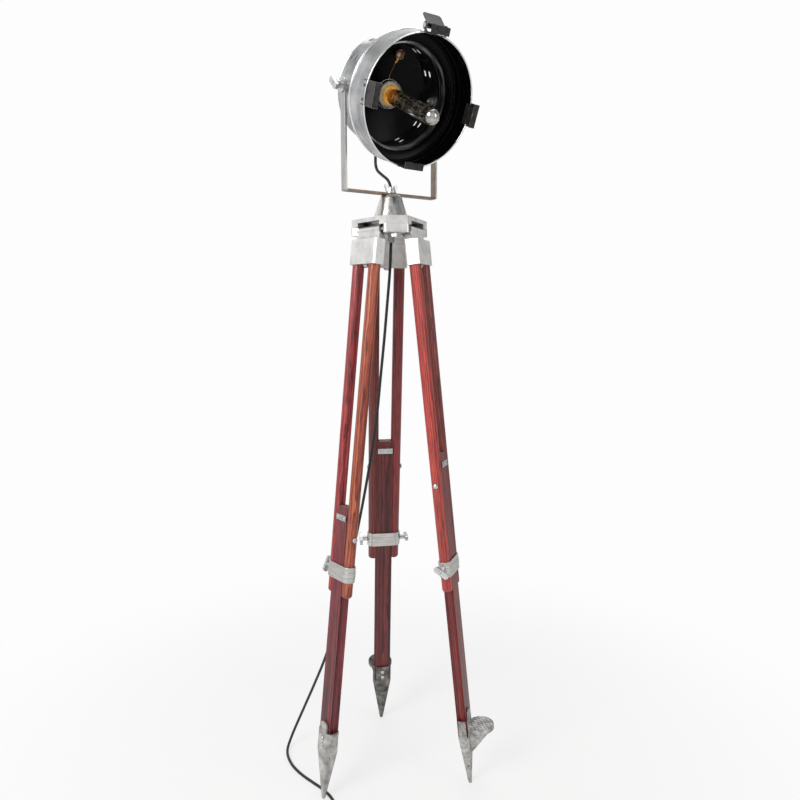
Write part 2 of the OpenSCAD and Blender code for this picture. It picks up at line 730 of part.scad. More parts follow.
module bulb_stem() color(glass) bulb_frame() translate([0, 0, 32]) rotate_extrude() polygon([
    [0, 0], [9, 0], [7, 6], [3.4, 16], [3, 30], [2, 34], [1.2, bulb_len - 34], [0, bulb_len - 34]
]);

// long zigzag hairpins of wire around the glass rod
module filament() color(brass) bulb_frame() translate([0, 0, 32]) {
    for (turn = [0 : 60 : 300]) rotate([0, 0, turn]) {
        translate([5.2, 0, 30]) rotate([0, 2.2, 0]) cylinder(r = 0.35, h = bulb_len - 70, $fn = 16);
        translate([0, 0, 34]) rotate([0, 90, 0]) cylinder(r = 0.3, h = 5.6, $fn = 16);
        translate([0, 0, bulb_len - 44]) rotate([0, 90, 0]) cylinder(r = 0.3, h = 9, $fn = 16);
    }
}

module earth_wire() color(brass) can_frame() {
    translate([22, 72, -41.6]) cylinder(r = 4, h = 11.6);
    translate([22, 72, -31]) cylinder(r = 7, h = 2);
}

// ---- cord and what is on it
module cord_gland() color(black_paint) can_frame() translate([0, 0, gland_l]) rotate([90, 0, 0])
    difference() {
        union() {
            translate([0, 0, rear_in - 4]) cylinder(r = 4.9, h = 8);
            translate([0, 0, rear_r + 0.2]) cylinder(r = 8, h = 4);
            translate([0, 0, rear_in - 4]) cylinder(r = 8, h = 3.6);
            translate([0, 0, rear_r + 4]) cylinder(r1 = 6, r2 = 3.8, h = 20);
        }
        translate([0, 0, rear_in - 6]) cylinder(r = cord_d / 2 + running_gap, h = 40);
    }

module lamp_cord() color(cord_black) cord_tube(lamp_route, cord_d);

module drop_cord() color(cord_black) cord_tube(drop_route, cord_d);

module cord_coil() color(cord_black) {
    translate([coil_x, coil_y, 0]) tube(coil_out_r, coil_in_r, coil_h);
    cord_tube(plug_route, cord_d);
}

module mains_plug() color(black_paint) translate([plug_x, plug_y, 7]) {
    rotate([0, 90, 0]) cylinder(r1 = 4.5, r2 = 6, h = 12);
    translate([11, 0, 0]) rotate([90, 0, 90]) linear_extrude(26) rounded_rect(34, 13.6, 6);
    color(zinc) for (y = [-9.5, 9.5]) translate([36, y, 0]) rod_x(2, 0, 19);
}

// ---- build
head_casting();
mount_cone();
centre_stud();
clamp_blocks();
head_nuts();
hinge_pins();
color(cast_silver) leg_frame(fl_azimuth) shoulder_shape();  // shoulder_fl
color(cast_silver) leg_frame(right_azimuth) shoulder_shape();  // shoulder_right
color(cast_silver) leg_frame(rear_azimuth) shoulder_shape();  // shoulder_rear
leg_frame(fl_azimuth) poles_shape();  // poles_fl
leg_frame(right_azimuth) poles_shape();  // poles_right
leg_frame(rear_azimuth) poles_shape();  // poles_rear
leg_frame(fl_azimuth) band_shape([-1]);  // band_fl
leg_frame(right_azimuth) band_shape([-1]);  // band_right
leg_frame(rear_azimuth) band_shape([-1, 1]);  // band_rear
leg_frame(fl_azimuth) dome_bolts_shape(bar_top_short);  // dome_bolts_fl
leg_frame(right_azimuth) dome_bolts_shape(bar_top_long);  // dome_bolts_right
leg_frame(rear_azimuth) dome_bolts_shape(bar_top_long);  // dome_bolts_rear
leg_frame(fl_azimuth) thumb_screw_shape(-1, 20);  // thumb_screw_fl
leg_frame(right_azimuth) thumb_screw_shape(-1, 55);  // thumb_screw_right
leg_frame(rear_azimuth) thumb_screw_shape(-1, 90);  // thumb_screw_rear
leg_frame(rear_azimuth) thumb_screw_shape(1, 60);  // thumb_screw_rear_second
leg_frame(fl_azimuth) lower_bar_shape(bar_top_short);  // lower_bar_fl
leg_frame(right_azimuth) lower_bar_shape(bar_top_long);  // lower_bar_right
leg_frame(rear_azimuth) lower_bar_shape(bar_top_long);  // lower_bar_rear
leg_frame(fl_azimuth) clip_plates_shape(bar_top_short);  // clip_plates_fl
leg_frame(right_azimuth) clip_plates_shape(bar_top_long);  // clip_plates_right
leg_frame(rear_azimuth) clip_plates_shape(bar_top_long);  // clip_plates_rear
leg_frame(fl_azimuth) shoe_shape(50, 30, false);  // shoe_fl
leg_frame(right_azimuth) shoe_shape(44, 26, true);  // shoe_right
leg_frame(rear_azimuth) shoe_shape(44, 26, true);  // shoe_rear
leg_frame(fl_azimuth) shoe_rivets_shape(30, [-1, 1]);  // shoe_rivets_fl
leg_frame(right_azimuth) shoe_rivets_shape(26, [-1]);  // shoe_rivets_right
leg_frame(rear_azimuth) shoe_rivets_shape(26, [-1]);  // shoe_rivets_rear
yoke();
wing_nut();
knob_shape(-1);  // knob_left
knob_shape(1);  // knob_right
pivot_bolts();
front_drum();
rear_drum();
rear_cap();
step_ring();
frame_clips();
latch_base();
latch_pin();
latch_lever();
holder_bracket();
lamp_holder();
holder_ring();
bulb_glass();
bulb_cap();
bulb_stem();
filament();
earth_wire();
cord_gland();
lamp_cord();
drop_cord();
cord_coil();
mains_plug();
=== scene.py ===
# %% [markdown]
# # Tripod spotlight floor lamp
# An old stage spotlight on a folding wooden tripod. The engineering model gives every
# piece its true size, place and joint. This script dresses that model: it loads it as a
# frame, replaces the pieces that need finer shapes, gives each one a material, and lights
# the lamp as a product photograph is lit.

import math

import bmesh
import bpy
from mathutils import Matrix, Vector


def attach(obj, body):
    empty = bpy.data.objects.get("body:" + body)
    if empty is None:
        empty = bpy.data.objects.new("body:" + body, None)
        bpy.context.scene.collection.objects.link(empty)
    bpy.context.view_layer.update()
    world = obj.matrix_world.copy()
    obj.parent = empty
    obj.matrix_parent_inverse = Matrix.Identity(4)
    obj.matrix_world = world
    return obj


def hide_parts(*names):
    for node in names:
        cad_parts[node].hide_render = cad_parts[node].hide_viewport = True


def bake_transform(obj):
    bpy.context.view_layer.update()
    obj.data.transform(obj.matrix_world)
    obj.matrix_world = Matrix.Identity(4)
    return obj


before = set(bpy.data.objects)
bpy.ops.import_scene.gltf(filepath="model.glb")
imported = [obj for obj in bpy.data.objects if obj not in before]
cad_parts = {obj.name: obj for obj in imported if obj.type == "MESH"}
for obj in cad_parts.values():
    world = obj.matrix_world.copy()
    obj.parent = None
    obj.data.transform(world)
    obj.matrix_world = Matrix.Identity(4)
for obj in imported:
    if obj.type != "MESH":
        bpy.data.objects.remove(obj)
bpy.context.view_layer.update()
MM = 0.001

# %% [markdown]
# The photograph was taken from about 1.5 m in front of the lamp, at the height of a
# person's waist, looking down by 7.5 degrees. That close, the round mouth of the can is
# stretched and the legs seem to spread, so the distance matters more than the lens.

# %% The camera
camera_data = bpy.data.cameras.new("photo_camera")
camera_data.sensor_width = 36
camera_data.lens = 31.5
camera = bpy.data.objects.new("photo_camera", camera_data)
camera.location = (0.0185, -1.4627, 1.020)
camera.rotation_euler = (math.radians(90 - 7.5), 0, 0)
bpy.context.scene.collection.objects.link(camera)
bpy.context.scene.camera = camera
print("camera at", tuple(round(v, 3) for v in camera.location))

# %% [markdown]
# Most of the lamp isn't square to the room: each leg leans and the can is turned and
# tilted. So each of these gets a local frame, a matrix that takes a point measured along
# the leg or along the can to its place in the room. A leg's frame has its hinge pin at the
# origin and the leg hanging down -Z. The can's frame has X along the tilt axis and Z out
# of the mouth.

# %% Local frames
HINGE_HEIGHT, HINGE_RADIUS, FOOT_RADIUS, LEG_OFFSET = 1174, 50, 183, 5
TILT_AXIS_HEIGHT, YAW, TILT = 1443, 33, 22
LEG_DIRECTION = {"fl": 219, "right": -21, "rear": 99}


def turn(axis, degrees):
    return Matrix.Rotation(math.radians(degrees), 4, axis)


def shift(x, y, z):
    return Matrix.Translation((x * MM, y * MM, z * MM))


LEG_LENGTH = math.sqrt((FOOT_RADIUS - HINGE_RADIUS) ** 2 + HINGE_HEIGHT**2 - LEG_OFFSET**2)
LEAN = math.degrees(
    math.atan((FOOT_RADIUS - HINGE_RADIUS) / HINGE_HEIGHT) - math.atan(LEG_OFFSET / LEG_LENGTH)
)
LEG = {
    name: turn("Z", direction) @ shift(HINGE_RADIUS, 0, HINGE_HEIGHT) @ turn("Y", -LEAN)
    for name, direction in LEG_DIRECTION.items()
}
CAN = shift(0, 0, TILT_AXIS_HEIGHT) @ turn("Z", YAW) @ turn("X", 90 + TILT)
HOLDER_DEPTH, BULB_DROOP = -30, 5
BULB = CAN @ shift(0, 0, HOLDER_DEPTH) @ turn("X", BULB_DROOP)
print("a leg leans by", round(LEAN, 2), "degrees and is", round(LEG_LENGTH), "mm long")

# %% [markdown]
# A material in Blender is a small network of nodes. One function adds a node, sets it up
# and links its inputs, so a material reads from top to bottom like a recipe. Another links
# what the recipe has made to the shader. Many materials share the recipe of `mottled`: one
# noise that the colour, the roughness and mostly the relief follow. Another function paints
# shade: it darkens a colour wherever the surface looks into a corner. Colours are written
# as the sRGB hex values that a painter would pick from a screen, and turned to the linear
# values that light is added up in.

# %% Helpers for materials
def srgb(code):
    channels = [int(code[i : i + 2], 16) / 255 for i in (0, 2, 4)]
    linear = [c / 12.92 if c <= 0.04045 else ((c + 0.055) / 1.055) ** 2.4 for c in channels]
    return (*linear, 1.0)


def output(value):
    """A node stands for its first output, and anything else for itself."""
    return value.outputs[0] if isinstance(value, bpy.types.Node) else value


def node(tree, kind, inputs=None, stops=None, **settings):
    made = tree.nodes.new("ShaderNode" + kind)
    for name, value in settings.items():
        setattr(made, name, value)
    for key, value in (inputs or {}).items():
        if isinstance(output(value), bpy.types.NodeSocket):
            tree.links.new(output(value), made.inputs[key])
        else:
            made.inputs[key].default_value = value
    for i, (place, code) in enumerate(stops or []):
        ramp = made.color_ramp.elements
        point = ramp[i] if i < len(ramp) else ramp.new(place)
        point.position = place
        point.color = srgb(code)
    return made


def new_material(name, **sockets):
    """A material, its nodes, its shader, and each point's place on the piece in metres."""
    made = bpy.data.materials.new(name)
    made.use_nodes = True
    tree = made.node_tree
    shader = tree.nodes["Principled BSDF"]
    for key, value in sockets.items():
        shader.inputs[key.replace("_", " ")].default_value = value
    return made, tree, shader, node(tree, "TexCoord").outputs["Object"]


def connect(tree, shader, **links):
    """Links each named socket of the shader, as in Base_Color=colour, Roughness=rough."""
    for name, value in links.items():
        tree.links.new(output(value), shader.inputs[name.replace("_", " ")])


def painted_corner_shade(tree, colour, reach_mm, code):
    """Paints shade into a colour where the surface lies in a corner, a seam or a hollow."""
    hollow = node(tree, "AmbientOcclusion", {"Distance": reach_mm * MM}, samples=8)
    amount = node(
        tree, "ValToRGB", {"Fac": hollow.outputs["AO"]}, stops=[(0.25, code), (0.8, "ffffff")]
    )
    mixed = node(
        tree, "Mix", {0: 1.0, 6: colour, 7: amount}, data_type="RGBA", blend_type="MULTIPLY"
    )
    return mixed.outputs[2]


def per_mm(size):
    """The scale of a noise whose spots are about this many millimetres across."""
    return 1000 / size


def mottled(name, spot_mm, detail, stops, rough=None, relief=None, relief_mm=None, **sockets):
    """A material whose colour, roughness and relief wander in spots of a given size.

    The relief is a depth in millimetres and a strength, and can have a finer noise of its own.
    """
    made, tree, shader, coords = new_material(name, **sockets)
    spots = node(tree, "TexNoise", {"Vector": coords, "Scale": per_mm(spot_mm), "Detail": detail})
    colour = node(tree, "ValToRGB", {"Fac": spots}, stops=stops)
    connect(tree, shader, Base_Color=colour)
    if "Emission_Strength" in sockets:
        connect(tree, shader, Emission_Color=colour)
    if rough:
        low, high = rough
        dullness = node(tree, "MapRange", {"Value": spots, "To Min": low, "To Max": high})
        connect(tree, shader, Roughness=dullness)
    if relief:
        depth, strength = relief
        height = spots
        if relief_mm:
            height = node(tree, "TexNoise", {"Vector": coords, "Scale": per_mm(relief_mm)})
        bump = node(tree, "Bump", {"Height": height, "Distance": depth * MM, "Strength": strength})
        connect(tree, shader, Normal=bump)
    return made


print("middle grey is", round(srgb("808080")[0], 3), "in linear light")

# %% [markdown]
# Meshes are made by a few small builders. Turned pieces come from a profile swept round
# an axis, bars and plates from an outline drawn out to a length, and wires and cords from
# curves. Each builder leaves its mesh in a local frame, and `put` sets it in place, gives
# it to its body of the frame and hides the solids that it stands for.

# %% Putting a piece in its place
def put(mesh_or_curve, name, place, body, materials, replaces=()):
    thing = bpy.data.objects.new(name, mesh_or_curve)
    thing.matrix_world = place
    bpy.context.scene.collection.objects.link(thing)
    for material in materials:
        mesh_or_curve.materials.append(material)
    if replaces:
        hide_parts(*replaces)
    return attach(thing, body) or thing


def finish_mesh(build, name, sharp_angle=35):
    bmesh.ops.recalc_face_normals(build, faces=build.faces)
    mesh = bpy.data.meshes.new(name)
    build.to_mesh(mesh)
    build.free()
    mesh.shade_smooth()
    mesh.set_sharp_from_angle(angle=math.radians(sharp_angle))
    return mesh


def merge(build, part):
    """Adds the faces of a part to a build and frees the part."""
    loose = bpy.data.meshes.new("part")
    part.to_mesh(loose)
    part.free()
    build.from_mesh(loose)
    bpy.data.meshes.remove(loose)


# %% Turned pieces
def add_lathe(build, profile, sides=96, slots=None, closed=False):
    """Sweeps (radius, height) points in millimetres round Z. slots gives a material per step."""
    rings = []
    for radius, height in profile:
        count = 1 if radius < 1e-6 else sides
        rings.append(
            [
                build.verts.new(
                    (
                        radius * MM * math.cos(2 * math.pi * k / sides),
                        radius * MM * math.sin(2 * math.pi * k / sides),
                        height * MM,
                    )
                )
                for k in range(count)
            ]
        )
    steps = len(rings) if closed else len(rings) - 1
    for i in range(steps):
        low, high = rings[i], rings[(i + 1) % len(rings)]
        for k in range(sides):
            around = [low[k % len(low)], low[(k + 1) % len(low)]]
            around += [high[(k + 1) % len(high)], high[k % len(high)]]
            corners = list(dict.fromkeys(around))
            if len(corners) > 2:
                face = build.faces.new(corners)
                face.material_index = slots[i] if slots else 0
    return build


print("a builder for turned pieces")

# %% Bars and plates
def add_prism(build, outline, base, top, chamfer=0.0, slots=(0, 0)):
    """Draws a closed outline of (x, y) in millimetres up from base to top, ends chamfered."""
    middle = Vector((sum(p[0] for p in outline), sum(p[1] for p in outline))) / len(outline)
    layers = [(base, chamfer), (base + chamfer, 0), (top - chamfer, 0), (top, chamfer)]
    if not chamfer:
        layers = [(base, 0), (top, 0)]
    rings = []
    for height, inset in layers:
        ring = []
        for x, y in outline:
            away = Vector((x, y)) - middle
            near = middle + away * max(0.0, 1 - inset / max(away.length, 0.01))
            ring.append(build.verts.new((near.x * MM, near.y * MM, height * MM)))
        rings.append(ring)
    count = len(outline)
    for low, high in zip(rings, rings[1:]):
        for k in range(count):
            face = build.faces.new([low[k], low[(k + 1) % count], high[(k + 1) % count], high[k]])
            face.material_index = slots[0]
    for ring in (rings[0][::-1], rings[-1]):
        face = build.faces.new(ring)
        face.material_index = slots[1]
    return build


print("a builder for bars and plates")

# %% Routes, wires and cords
def smooth_route(points, steps=6):
    """A Catmull-Rom curve through points in millimetres, as points in metres."""
    route = [Vector(p) for p in points]
    ends = [route[0] * 2 - route[1]] + route + [route[-1] * 2 - route[-2]]
    curve = []
    for a, b, c, d in zip(ends, ends[1:], ends[2:], ends[3:]):
        for k in range(steps):
            t = k / steps
            curve.append(
                0.5
                * (2 * b + (c - a) * t + (2 * a - 5 * b + 4 * c - d) * t * t
                   + (3 * b - a - 3 * c + d) * t**3)
            )
    curve.append(route[-1])
    return [p * MM for p in curve]


def eased(points, passes=3):
    """Averages each point with its neighbours, so that a stiff cord has no tight kinks."""
    for _ in range(passes):
        points = [points[0]] + [
            (a + b * 2 + c) / 4 for a, b, c in zip(points, points[1:], points[2:])
        ] + [points[-1]]
    return points


def wire(name, points, diameter, resolution=6):
    """A round wire or cord along points in metres, as a curve with closed ends."""
    curve = bpy.data.curves.new(name, "CURVE")
    curve.dimensions = "3D"
    curve.bevel_depth = diameter / 2 * MM
    curve.bevel_resolution = resolution
    curve.use_fill_caps = True
    line = curve.splines.new("POLY")
    line.points.add(len(points) - 1)
    for point, place in zip(line.points, points):
        point.co = (*place, 1)
    line.use_smooth = True
    return curve


def route_length(points):
    return sum((b - a).length for a, b in zip(points, points[1:]))


print("one straight metre measures", route_length([Vector((0, 0, 0)), Vector((0, 0, 1))]), "m")

# %% [markdown]
# The cord is PVC-sheathed mains lead, 6 mm thick. It leaves the can through a strain
# relief, hangs into the hollow stud of the tripod head, comes out under the head and hangs
# between the front left and rear legs to the floor. The photograph loses it behind the
# front left foot, so the rest is wound into a coil outside the picture. A black sheath is
# never pure black: it is a very dark grey with a dull sheen and fine dust in its pores.

# %% Cord sheath
cord_sheath = mottled(
    "black PVC cord sheath", 4, 4, [(0.35, "161617"), (0.75, "2a2a2b")],
    relief=(0.1, 0.3), Roughness=0.48, IOR=1.52,
)
print("material:", cord_sheath.name)

# %% The cord's route, as in the engineering model
CORD = 6
LAMP_ROUTE = [
    (-32.5, 50, 1333), (-33, 51.5, 1321.5), (-31.5, 48.5, 1310), (-27.5, 42, 1301),
    (-20.5, 32, 1294), (-15, 22.5, 1287.5), (-8, 12, 1281), (-3, 4.5, 1272),
    (-0.5, 0.5, 1262), (0, 0, 1252), (0, 0, 1238),
]
DROP_ROUTE = [
    (0, 0, 1154), (-2, 1, 1100), (-7, 3, 1040), (-14, 5, 960), (-22, 8, 880), (-30, 11, 800),
    (-39, 14, 735), (-55, 19, 639), (-76, 27, 531), (-94, 33, 450), (-110, 38, 372),
    (-131, 45, 295), (-154, 53, 222), (-178, 61, 160), (-203, 67, 100), (-219, 70.5, 62),
    (-231, 69, 34), (-239, 61, 15), (-242.5, 46, 5.5), (-240, 27, 3), (-233, 7, 3),
    (-222, -14, 3), (-207, -34, 3), (-189, -53, 3), (-168, -72, 3), (-147, -91, 3),
    (-128, -114, 3), (-116, -138, 3), (-111.5, -161, 3),
]
COIL_CENTRE = (-150, -184)
PLUG_ROUTE = [
    (-111, -197, 8.5), (-110.5, -209, 6.5), (-108, -221, 4.5), (-102, -232, 3.5),
    (-93, -241, 3.5), (-82, -246.5, 5), (-70, -248, 7),
]
COIL_OUTER, COIL_INNER, TURN_GAP, FLOOR_LAYER, TOP_LAYER, COIL_TURNS = 39, 27, 6, 3, 9.05, 5


def coil_point(turns):
    """Two turns inwards on the floor, one turn that climbs, two turns outwards on top."""
    if turns < 2:
        radius, height = COIL_OUTER - TURN_GAP * turns, FLOOR_LAYER
    elif turns < 3:
        climb = min(1, (turns - 2) * 2)
        radius = COIL_INNER
        height = FLOOR_LAYER + (TOP_LAYER - FLOOR_LAYER) * climb * climb * (3 - 2 * climb)
    else:
        radius, height = COIL_INNER + TURN_GAP * (turns - 3), TOP_LAYER
    angle = -2 * math.pi * turns
    return (
        COIL_CENTRE[0] + radius * math.cos(angle),
        COIL_CENTRE[1] + radius * math.sin(angle),
        height,
    )


COIL_ROUTE = [coil_point(k / 16) for k in range(COIL_TURNS * 16 + 1)]
main_line = smooth_route(DROP_ROUTE + COIL_ROUTE + PLUG_ROUTE)
for point in main_line:
    point.z = max(point.z, CORD / 2 * MM)
main_cord = put(
    wire("main_cord", main_line, CORD), "main_cord", Matrix(), "base", [cord_sheath],
    ["drop_cord", "cord_coil"],
)
print("main cord:", round(route_length(main_line), 3), "m")

# %% [markdown]
# The short stretch from the can to the tripod head bends whenever the can tilts. This
# piece is a tube: a ring of points round each point of the route, each ring square to the
# route.

# %% A tube as a mesh
def tube(name, points, diameter, sides=16):
    build = bmesh.new()
    side = Vector((0, 1, 0))
    rings = []
    for i, point in enumerate(points):
        along = (points[min(i + 1, len(points) - 1)] - points[max(i - 1, 0)]).normalized()
        side = (side - along * side.dot(along)).normalized()
        across = along.cross(side)
        ring = []
        for k in range(sides):
            angle = 2 * math.pi * k / sides
            out = side * math.cos(angle) + across * math.sin(angle)
            ring.append(build.verts.new(point + out * diameter / 2 * MM))
        rings.append(ring)
    for low, high in zip(rings, rings[1:]):
        for k in range(sides):
            build.faces.new([low[k], low[(k + 1) % sides], high[(k + 1) % sides], high[k]])
    build.faces.new(rings[0][::-1])
    build.faces.new(rings[-1])
    return finish_mesh(build, name)


lamp_line = eased(smooth_route(LAMP_ROUTE, 5), 12)
lamp_cord = bpy.data.objects.new("lamp_cord_piece", tube("lamp_cord_piece", lamp_line, CORD))
bpy.context.scene.collection.objects.link(lamp_cord)
lamp_cord.data.materials.append(cord_sheath)
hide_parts("lamp_cord")
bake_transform(lamp_cord)
print("lamp cord:", round(route_length(lamp_line), 3), "m")

# %% [markdown]
# The plug and the strain relief are moulded in the same soft PVC as the sheath. The coil
# is held by a flat cable tie.

# %% Moulded PVC, and the sizes of plug and tie
PLUG = shift(*PLUG_ROUTE[-1]) @ turn("Z", 90) @ turn("X", 90)
PLUG_WIDTH, PLUG_THICK, PLUG_BACK, PLUG_FACE = 34, 13.4, 11, 37
PIN_PITCH, PIN_RADIUS, PIN_TIP = 19, 2, 55
TIE_WIDTH, TIE_THICK, TIE_HALF_LENGTH, TIE_HALF_HEIGHT = 4.8, 0.5, 10, 5.8
moulded_pvc = mottled(
    "moulded black PVC", 0.9, 2, [(0.3, "141415"), (0.7, "232324")],
    relief=(0.06, 0.4), Roughness=0.42, IOR=1.52,
)
print("material:", moulded_pvc.name)

# %% The plug's body and pins
def rounded_outline(length, width, radius, steps=6):
    outline = []
    for cx, cy, start in ((1, 1, 0), (-1, 1, 90), (-1, -1, 180), (1, -1, 270)):
        for k in range(steps + 1):
            angle = math.radians(start + 90 * k / steps)
            outline.append(
                (
                    cx * (length / 2 - radius) + radius * math.cos(angle),
                    cy * (width / 2 - radius) + radius * math.sin(angle),
                )
            )
    return outline


plug_build = bmesh.new()
boot = [(0, 0), (4.4, 0), (4.7, 3), (4.4, 3.6), (5.1, 6), (4.8, 6.8), (5.6, 9), (6.2, 12)]
add_lathe(plug_build, boot, 32)
add_prism(plug_build, rounded_outline(PLUG_WIDTH, PLUG_THICK, 6), PLUG_BACK, PLUG_FACE, 1.6)
plug_body = put(
    finish_mesh(plug_build, "plug_body"), "plug_body", PLUG, "base", [moulded_pvc], ["mains_plug"]
)
pins = bmesh.new()
for side in (-1, 1):
    pin = bmesh.new()
    tip = [(0, PIN_TIP), (PIN_RADIUS - 0.8, PIN_TIP), (PIN_RADIUS, PIN_TIP - 1)]
    add_lathe(pin, tip + [(PIN_RADIUS, PLUG_FACE - 1)], 24)
    bmesh.ops.translate(pin, verts=pin.verts, vec=(side * PIN_PITCH / 2 * MM, 0, 0))
    merge(pins, pin)
pin_mesh = finish_mesh(pins, "plug_pins")
print("plug", PLUG_WIDTH, "mm wide, pins", PIN_PITCH, "mm apart")

# %% The cable tie
def squared(part):
    """Turns a circle's sine or cosine into that of a square with round corners."""
    return math.copysign(abs(part) ** 0.5, part)


tie_middle = Vector((COIL_CENTRE[0] - (COIL_OUTER + COIL_INNER) / 2, COIL_CENTRE[1] + 6, 6.2))
tie_outline = [
    (tie_middle + Vector((TIE_HALF_LENGTH * squared(math.cos(a)), 0,
                          TIE_HALF_HEIGHT * squared(math.sin(a))))) * MM
    for a in (2 * math.pi * k / 40 for k in range(40))
]
across = Vector((0, TIE_WIDTH / 2 * MM, 0))
tie_strip = bmesh.new()
for here, there in zip(tie_outline, tie_outline[1:] + tie_outline[:1]):
    corners = [here - across, there - across, there + across, here + across]
    tie_strip.faces.new([tie_strip.verts.new(c) for c in corners])
bmesh.ops.remove_doubles(tie_strip, verts=tie_strip.verts, dist=0.01 * MM)
bmesh.ops.solidify(tie_strip, geom=tie_strip.faces[:], thickness=-TIE_THICK * MM)
cable_tie = put(
    finish_mesh(tie_strip, "cable_tie"), "cable_tie", Matrix(), "base", [moulded_pvc],
)
print("the tie holds a coil", 2 * COIL_OUTER + CORD, "mm across")

# %% [markdown]
# The small hardware of a stage lamp is zinc-plated steel: nuts, bolts and thumb screws
# dipped in zinc, which goes on as a pale, slightly blue skin with a soft bloom. It is a
# metal, so its colour is the colour of its reflections, and the bloom shows as a roughness
# that wanders over a few millimetres.

# %% Zinc-plated steel
zinc = mottled(
    "zinc plated steel", 5, 5, [(0.3, "b4b5b6"), (0.7, "dddedd")],
    rough=(0.2, 0.42), relief=(0.05, 0.3), relief_mm=0.8, Metallic=1.0,
)
print("material:", zinc.name)

# %% The pins put in
plug_pins = put(pin_mesh, "plug_pins", PLUG, "base", [zinc])
print("both cords declared:", round(route_length(main_line) + route_length(lamp_line), 2), "m in all")

# %% [markdown]
# The solids of the frame have dead sharp edges, and no cast or stamped piece has. Where a
# solid's shape is right, it is kept and only its edges are rounded by a modifier, so that
# they catch a line of light. On blackened steel that rounded edge gets a second material:
# bare metal, where the black has rubbed off.

# %% Keeping a solid of the frame
def keep(names, materials, edge=0.6):
    for name in names.split():
        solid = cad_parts[name]
        solid.data.materials.clear()
        for material in materials:
            solid.data.materials.append(material)
        solid.data.polygons.foreach_set("material_index", [0] * len(solid.data.polygons))
        if "custom_normal" in solid.data.attributes:
            solid.data.attributes.remove(solid.data.attributes["custom_normal"])
        solid.data.shade_smooth()
        solid.data.set_sharp_from_angle(angle=math.radians(32))
        weld = solid.modifiers.new("weld", "WELD")
        weld.merge_threshold = 0.005 * MM
        if edge:
            rounding = solid.modifiers.new("rounded edges", "BEVEL")
            rounding.width = edge * MM
            rounding.segments = 3
            rounding.limit_method = "ANGLE"
            rounding.angle_limit = math.radians(38)
            rounding.harden_normals = True
            if len(materials) > 1:
                rounding.material = 1


keep("centre_stud head_nuts wing_nut", [zinc], 0.5)
keep("hinge_pins latch_pin", [zinc], 0.3)
keep("pivot_bolts knob_left knob_right", [zinc], 0.7)
keep("thumb_screw_fl thumb_screw_right thumb_screw_rear thumb_screw_rear_second", [zinc], 0.9)
for leg in LEG:
    keep(f"dome_bolts_{leg} shoe_rivets_{leg}", [zinc], 0)
    keep(f"clip_plates_{leg}", [zinc], 0.4)
print("zinc-plated pieces kept from the frame")

# %% [markdown]
# The tripod's head and the shoulders of its legs are aluminium, poured into sand moulds
# and then tumbled until the high places shine. The sand leaves a fine pitting, tumbling
# leaves broad cloudy patches, and the hollows stay duller. Shade is painted into the
# hollows, so that they are darker than the edges.

# %% Tumbled sand-cast aluminium
sand_cast, tree, shader, coords = new_material("tumbled sand-cast aluminium", Metallic=1.0)
cloud = node(tree, "TexNoise", {"Vector": coords, "Scale": per_mm(26), "Detail": 5})
pits = node(tree, "TexNoise", {"Vector": coords, "Scale": per_mm(1.6), "Detail": 3})
cast_colour = node(
    tree, "ValToRGB", {"Fac": cloud}, stops=[(0.3, "cfcecc"), (0.5, "e6e5e3"), (0.7, "f6f5f3")]
)
pit_depth = node(tree, "ValToRGB", {"Fac": pits}, stops=[(0.3, "000000"), (0.42, "ffffff")])
pitted = node(
    tree, "Mix", {0: 0.1, 6: cast_colour, 7: pit_depth}, data_type="RGBA", blend_type="MULTIPLY"
)
cast_rough = node(tree, "MapRange", {"Value": cloud, "To Min": 0.42, "To Max": 0.26})
cast_bump = node(tree, "Bump", {"Height": pit_depth, "Distance": 0.12 * MM, "Strength": 0.35})
wavy = node(tree, "Bump", {"Height": cloud, "Distance": 0.45 * MM, "Normal": cast_bump})
# Painted shade: the cast colour is darkened in corners, seams and hollows.
with_painted_shade = painted_corner_shade(tree, pitted.outputs[2], 14, "2c2a29")
connect(tree, shader, Base_Color=with_painted_shade, Roughness=cast_rough, Normal=wavy)
keep("head_casting clamp_blocks", [sand_cast], 1.2)
keep("shoulder_fl shoulder_right shoulder_rear", [sand_cast], 1.6)
print("material:", sand_cast.name)

# %% [markdown]
# The cone on the head is the same metal, but turned and polished on a lathe spindle, then
# rubbed down by hand from top to bottom. That leaves long streaks down its sides, and they
# smear every reflection into vertical bands. The streaks are a noise stretched along Z.

# %% Polished cast aluminium
polished_cast, tree, shader, coords = new_material("polished cast aluminium", Metallic=1.0)
stretch = node(tree, "Mapping", {"Vector": coords, "Scale": (1, 1, 0.06)})
streaks = node(tree, "TexNoise", {"Vector": stretch, "Scale": per_mm(3), "Detail": 4})
streak_colour = node(
    tree, "ValToRGB", {"Fac": streaks}, stops=[(0.3, "b4b3b1"), (0.5, "dddcda"), (0.7, "f5f4f2")]
)
streak_rough = node(tree, "MapRange", {"Value": streaks, "To Min": 0.3, "To Max": 0.14})
streak_bump = node(tree, "Bump", {"Height": streaks, "Distance": 0.25 * MM, "Strength": 0.5})
connect(tree, shader, Base_Color=streak_colour, Roughness=streak_rough, Normal=streak_bump)
keep("mount_cone", [polished_cast], 1.0)
print("material:", polished_cast.name)

# %% [markdown]
# The bands are pressed from aluminium strip, with a soft ridge round the middle, and
# brushed along their length.

